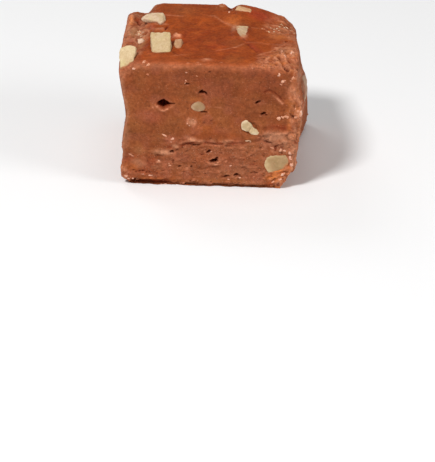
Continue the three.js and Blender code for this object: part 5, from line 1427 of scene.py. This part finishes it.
# ---------------------------------------------------------------- floor, light, camera
floor = bpy.data.meshes.new("floor")
floor.from_pydata([(-3, -3, 0), (3, -3, 0), (3, 3, 0), (-3, 3, 0)], [], [(0, 1, 2, 3)])
floor_ob = bpy.data.objects.new("floor", floor)
floor_ob.location.z = -0.00002
bpy.context.scene.collection.objects.link(floor_ob)
fm = bpy.data.materials.new("floor")
fm.use_nodes = True
fb = fm.node_tree.nodes["Principled BSDF"]
fb.inputs["Base Color"].default_value = (0.9, 0.9, 0.9, 1)
fb.inputs["Roughness"].default_value = 0.9
fb.inputs["Specular IOR Level"].default_value = 0.0
floor.materials.append(fm)
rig.stage(floor_ob)


def area(name, position, target, size, watts, colour=(1, 1, 1)):
    light = bpy.data.lights.new(name, "AREA")
    light.shape = "DISK"
    light.size = size
    light.energy = watts
    light.color = colour
    ob = bpy.data.objects.new(name, light)
    ob.location = position
    ob.rotation_euler = (Vector(target) - Vector(position)).to_track_quat("-Z", "Y").to_euler()
    bpy.context.scene.collection.objects.link(ob)


area("key", (-0.34, -0.5, 0.78), (0, 0, 0.015), 0.22, 7.0)
area("fill", (0.92, -0.32, 0.4), (0, 0, 0.015), 0.5, 4.2)
area("overhead", (0.1, 0.05, 1.0), (0, 0, 0.02), 0.7, 1.6)
area("back", (-0.55, 0.7, 0.75), (0, 0, 0.015), 0.5, 1.8)

world = bpy.data.worlds.new("studio")
bpy.context.scene.world = world
world.use_nodes = True
wt = world.node_tree
wt.nodes.clear()
wo = wt.nodes.new("ShaderNodeOutputWorld")
seen = wt.nodes.new("ShaderNodeBackground")
seen.inputs[0].default_value = (0.93, 0.93, 0.93, 1)
lit = wt.nodes.new("ShaderNodeBackground")
lit.inputs[0].default_value = (0.14, 0.14, 0.14, 1)
path = wt.nodes.new("ShaderNodeLightPath")
mixw = wt.nodes.new("ShaderNodeMixShader")
wt.links.new(path.outputs["Is Camera Ray"], mixw.inputs[0])
wt.links.new(lit.outputs[0], mixw.inputs[1])
wt.links.new(seen.outputs[0], mixw.inputs[2])
wt.links.new(mixw.outputs[0], wo.inputs[0])

cam = bpy.data.cameras.new("camera")
cam.lens = 2307.0 * 36 / 462
cam.sensor_width = 36
cam.clip_start, cam.clip_end = 0.05, 20
cam_ob = bpy.data.objects.new("camera", cam)
bpy.context.scene.collection.objects.link(cam_ob)
az, el = math.radians(4.76 - 0.084), math.radians(22.0 + 3.355)
back = Vector((math.sin(az) * math.cos(el), -math.cos(az) * math.cos(el), math.sin(el)))
right = Vector((math.cos(az), math.sin(az), 0))
up = back.cross(right)
az0, el0 = math.radians(4.76), math.radians(22.0)
pos = Vector((SHIFT / 1000, 0, 0.016)) + 0.6 * Vector((math.sin(az0) * math.cos(el0), -math.cos(az0) * math.cos(el0), math.sin(el0)))
rot = Matrix((right, up, back)).transposed().to_4x4()
rot.translation = pos
cam_ob.matrix_world = rot
bpy.context.scene.camera = cam_ob

bpy.context.scene.view_settings.view_transform = "Standard"
bpy.context.scene.view_settings.look = "None"
bpy.context.scene.view_settings.exposure = 0
bpy.context.scene.view_settings.gamma = 1

with open("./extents.json", "w") as f:
    json.dump({"cad": CAD_BOX, "visual": [list(v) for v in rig.bounds()]}, f)
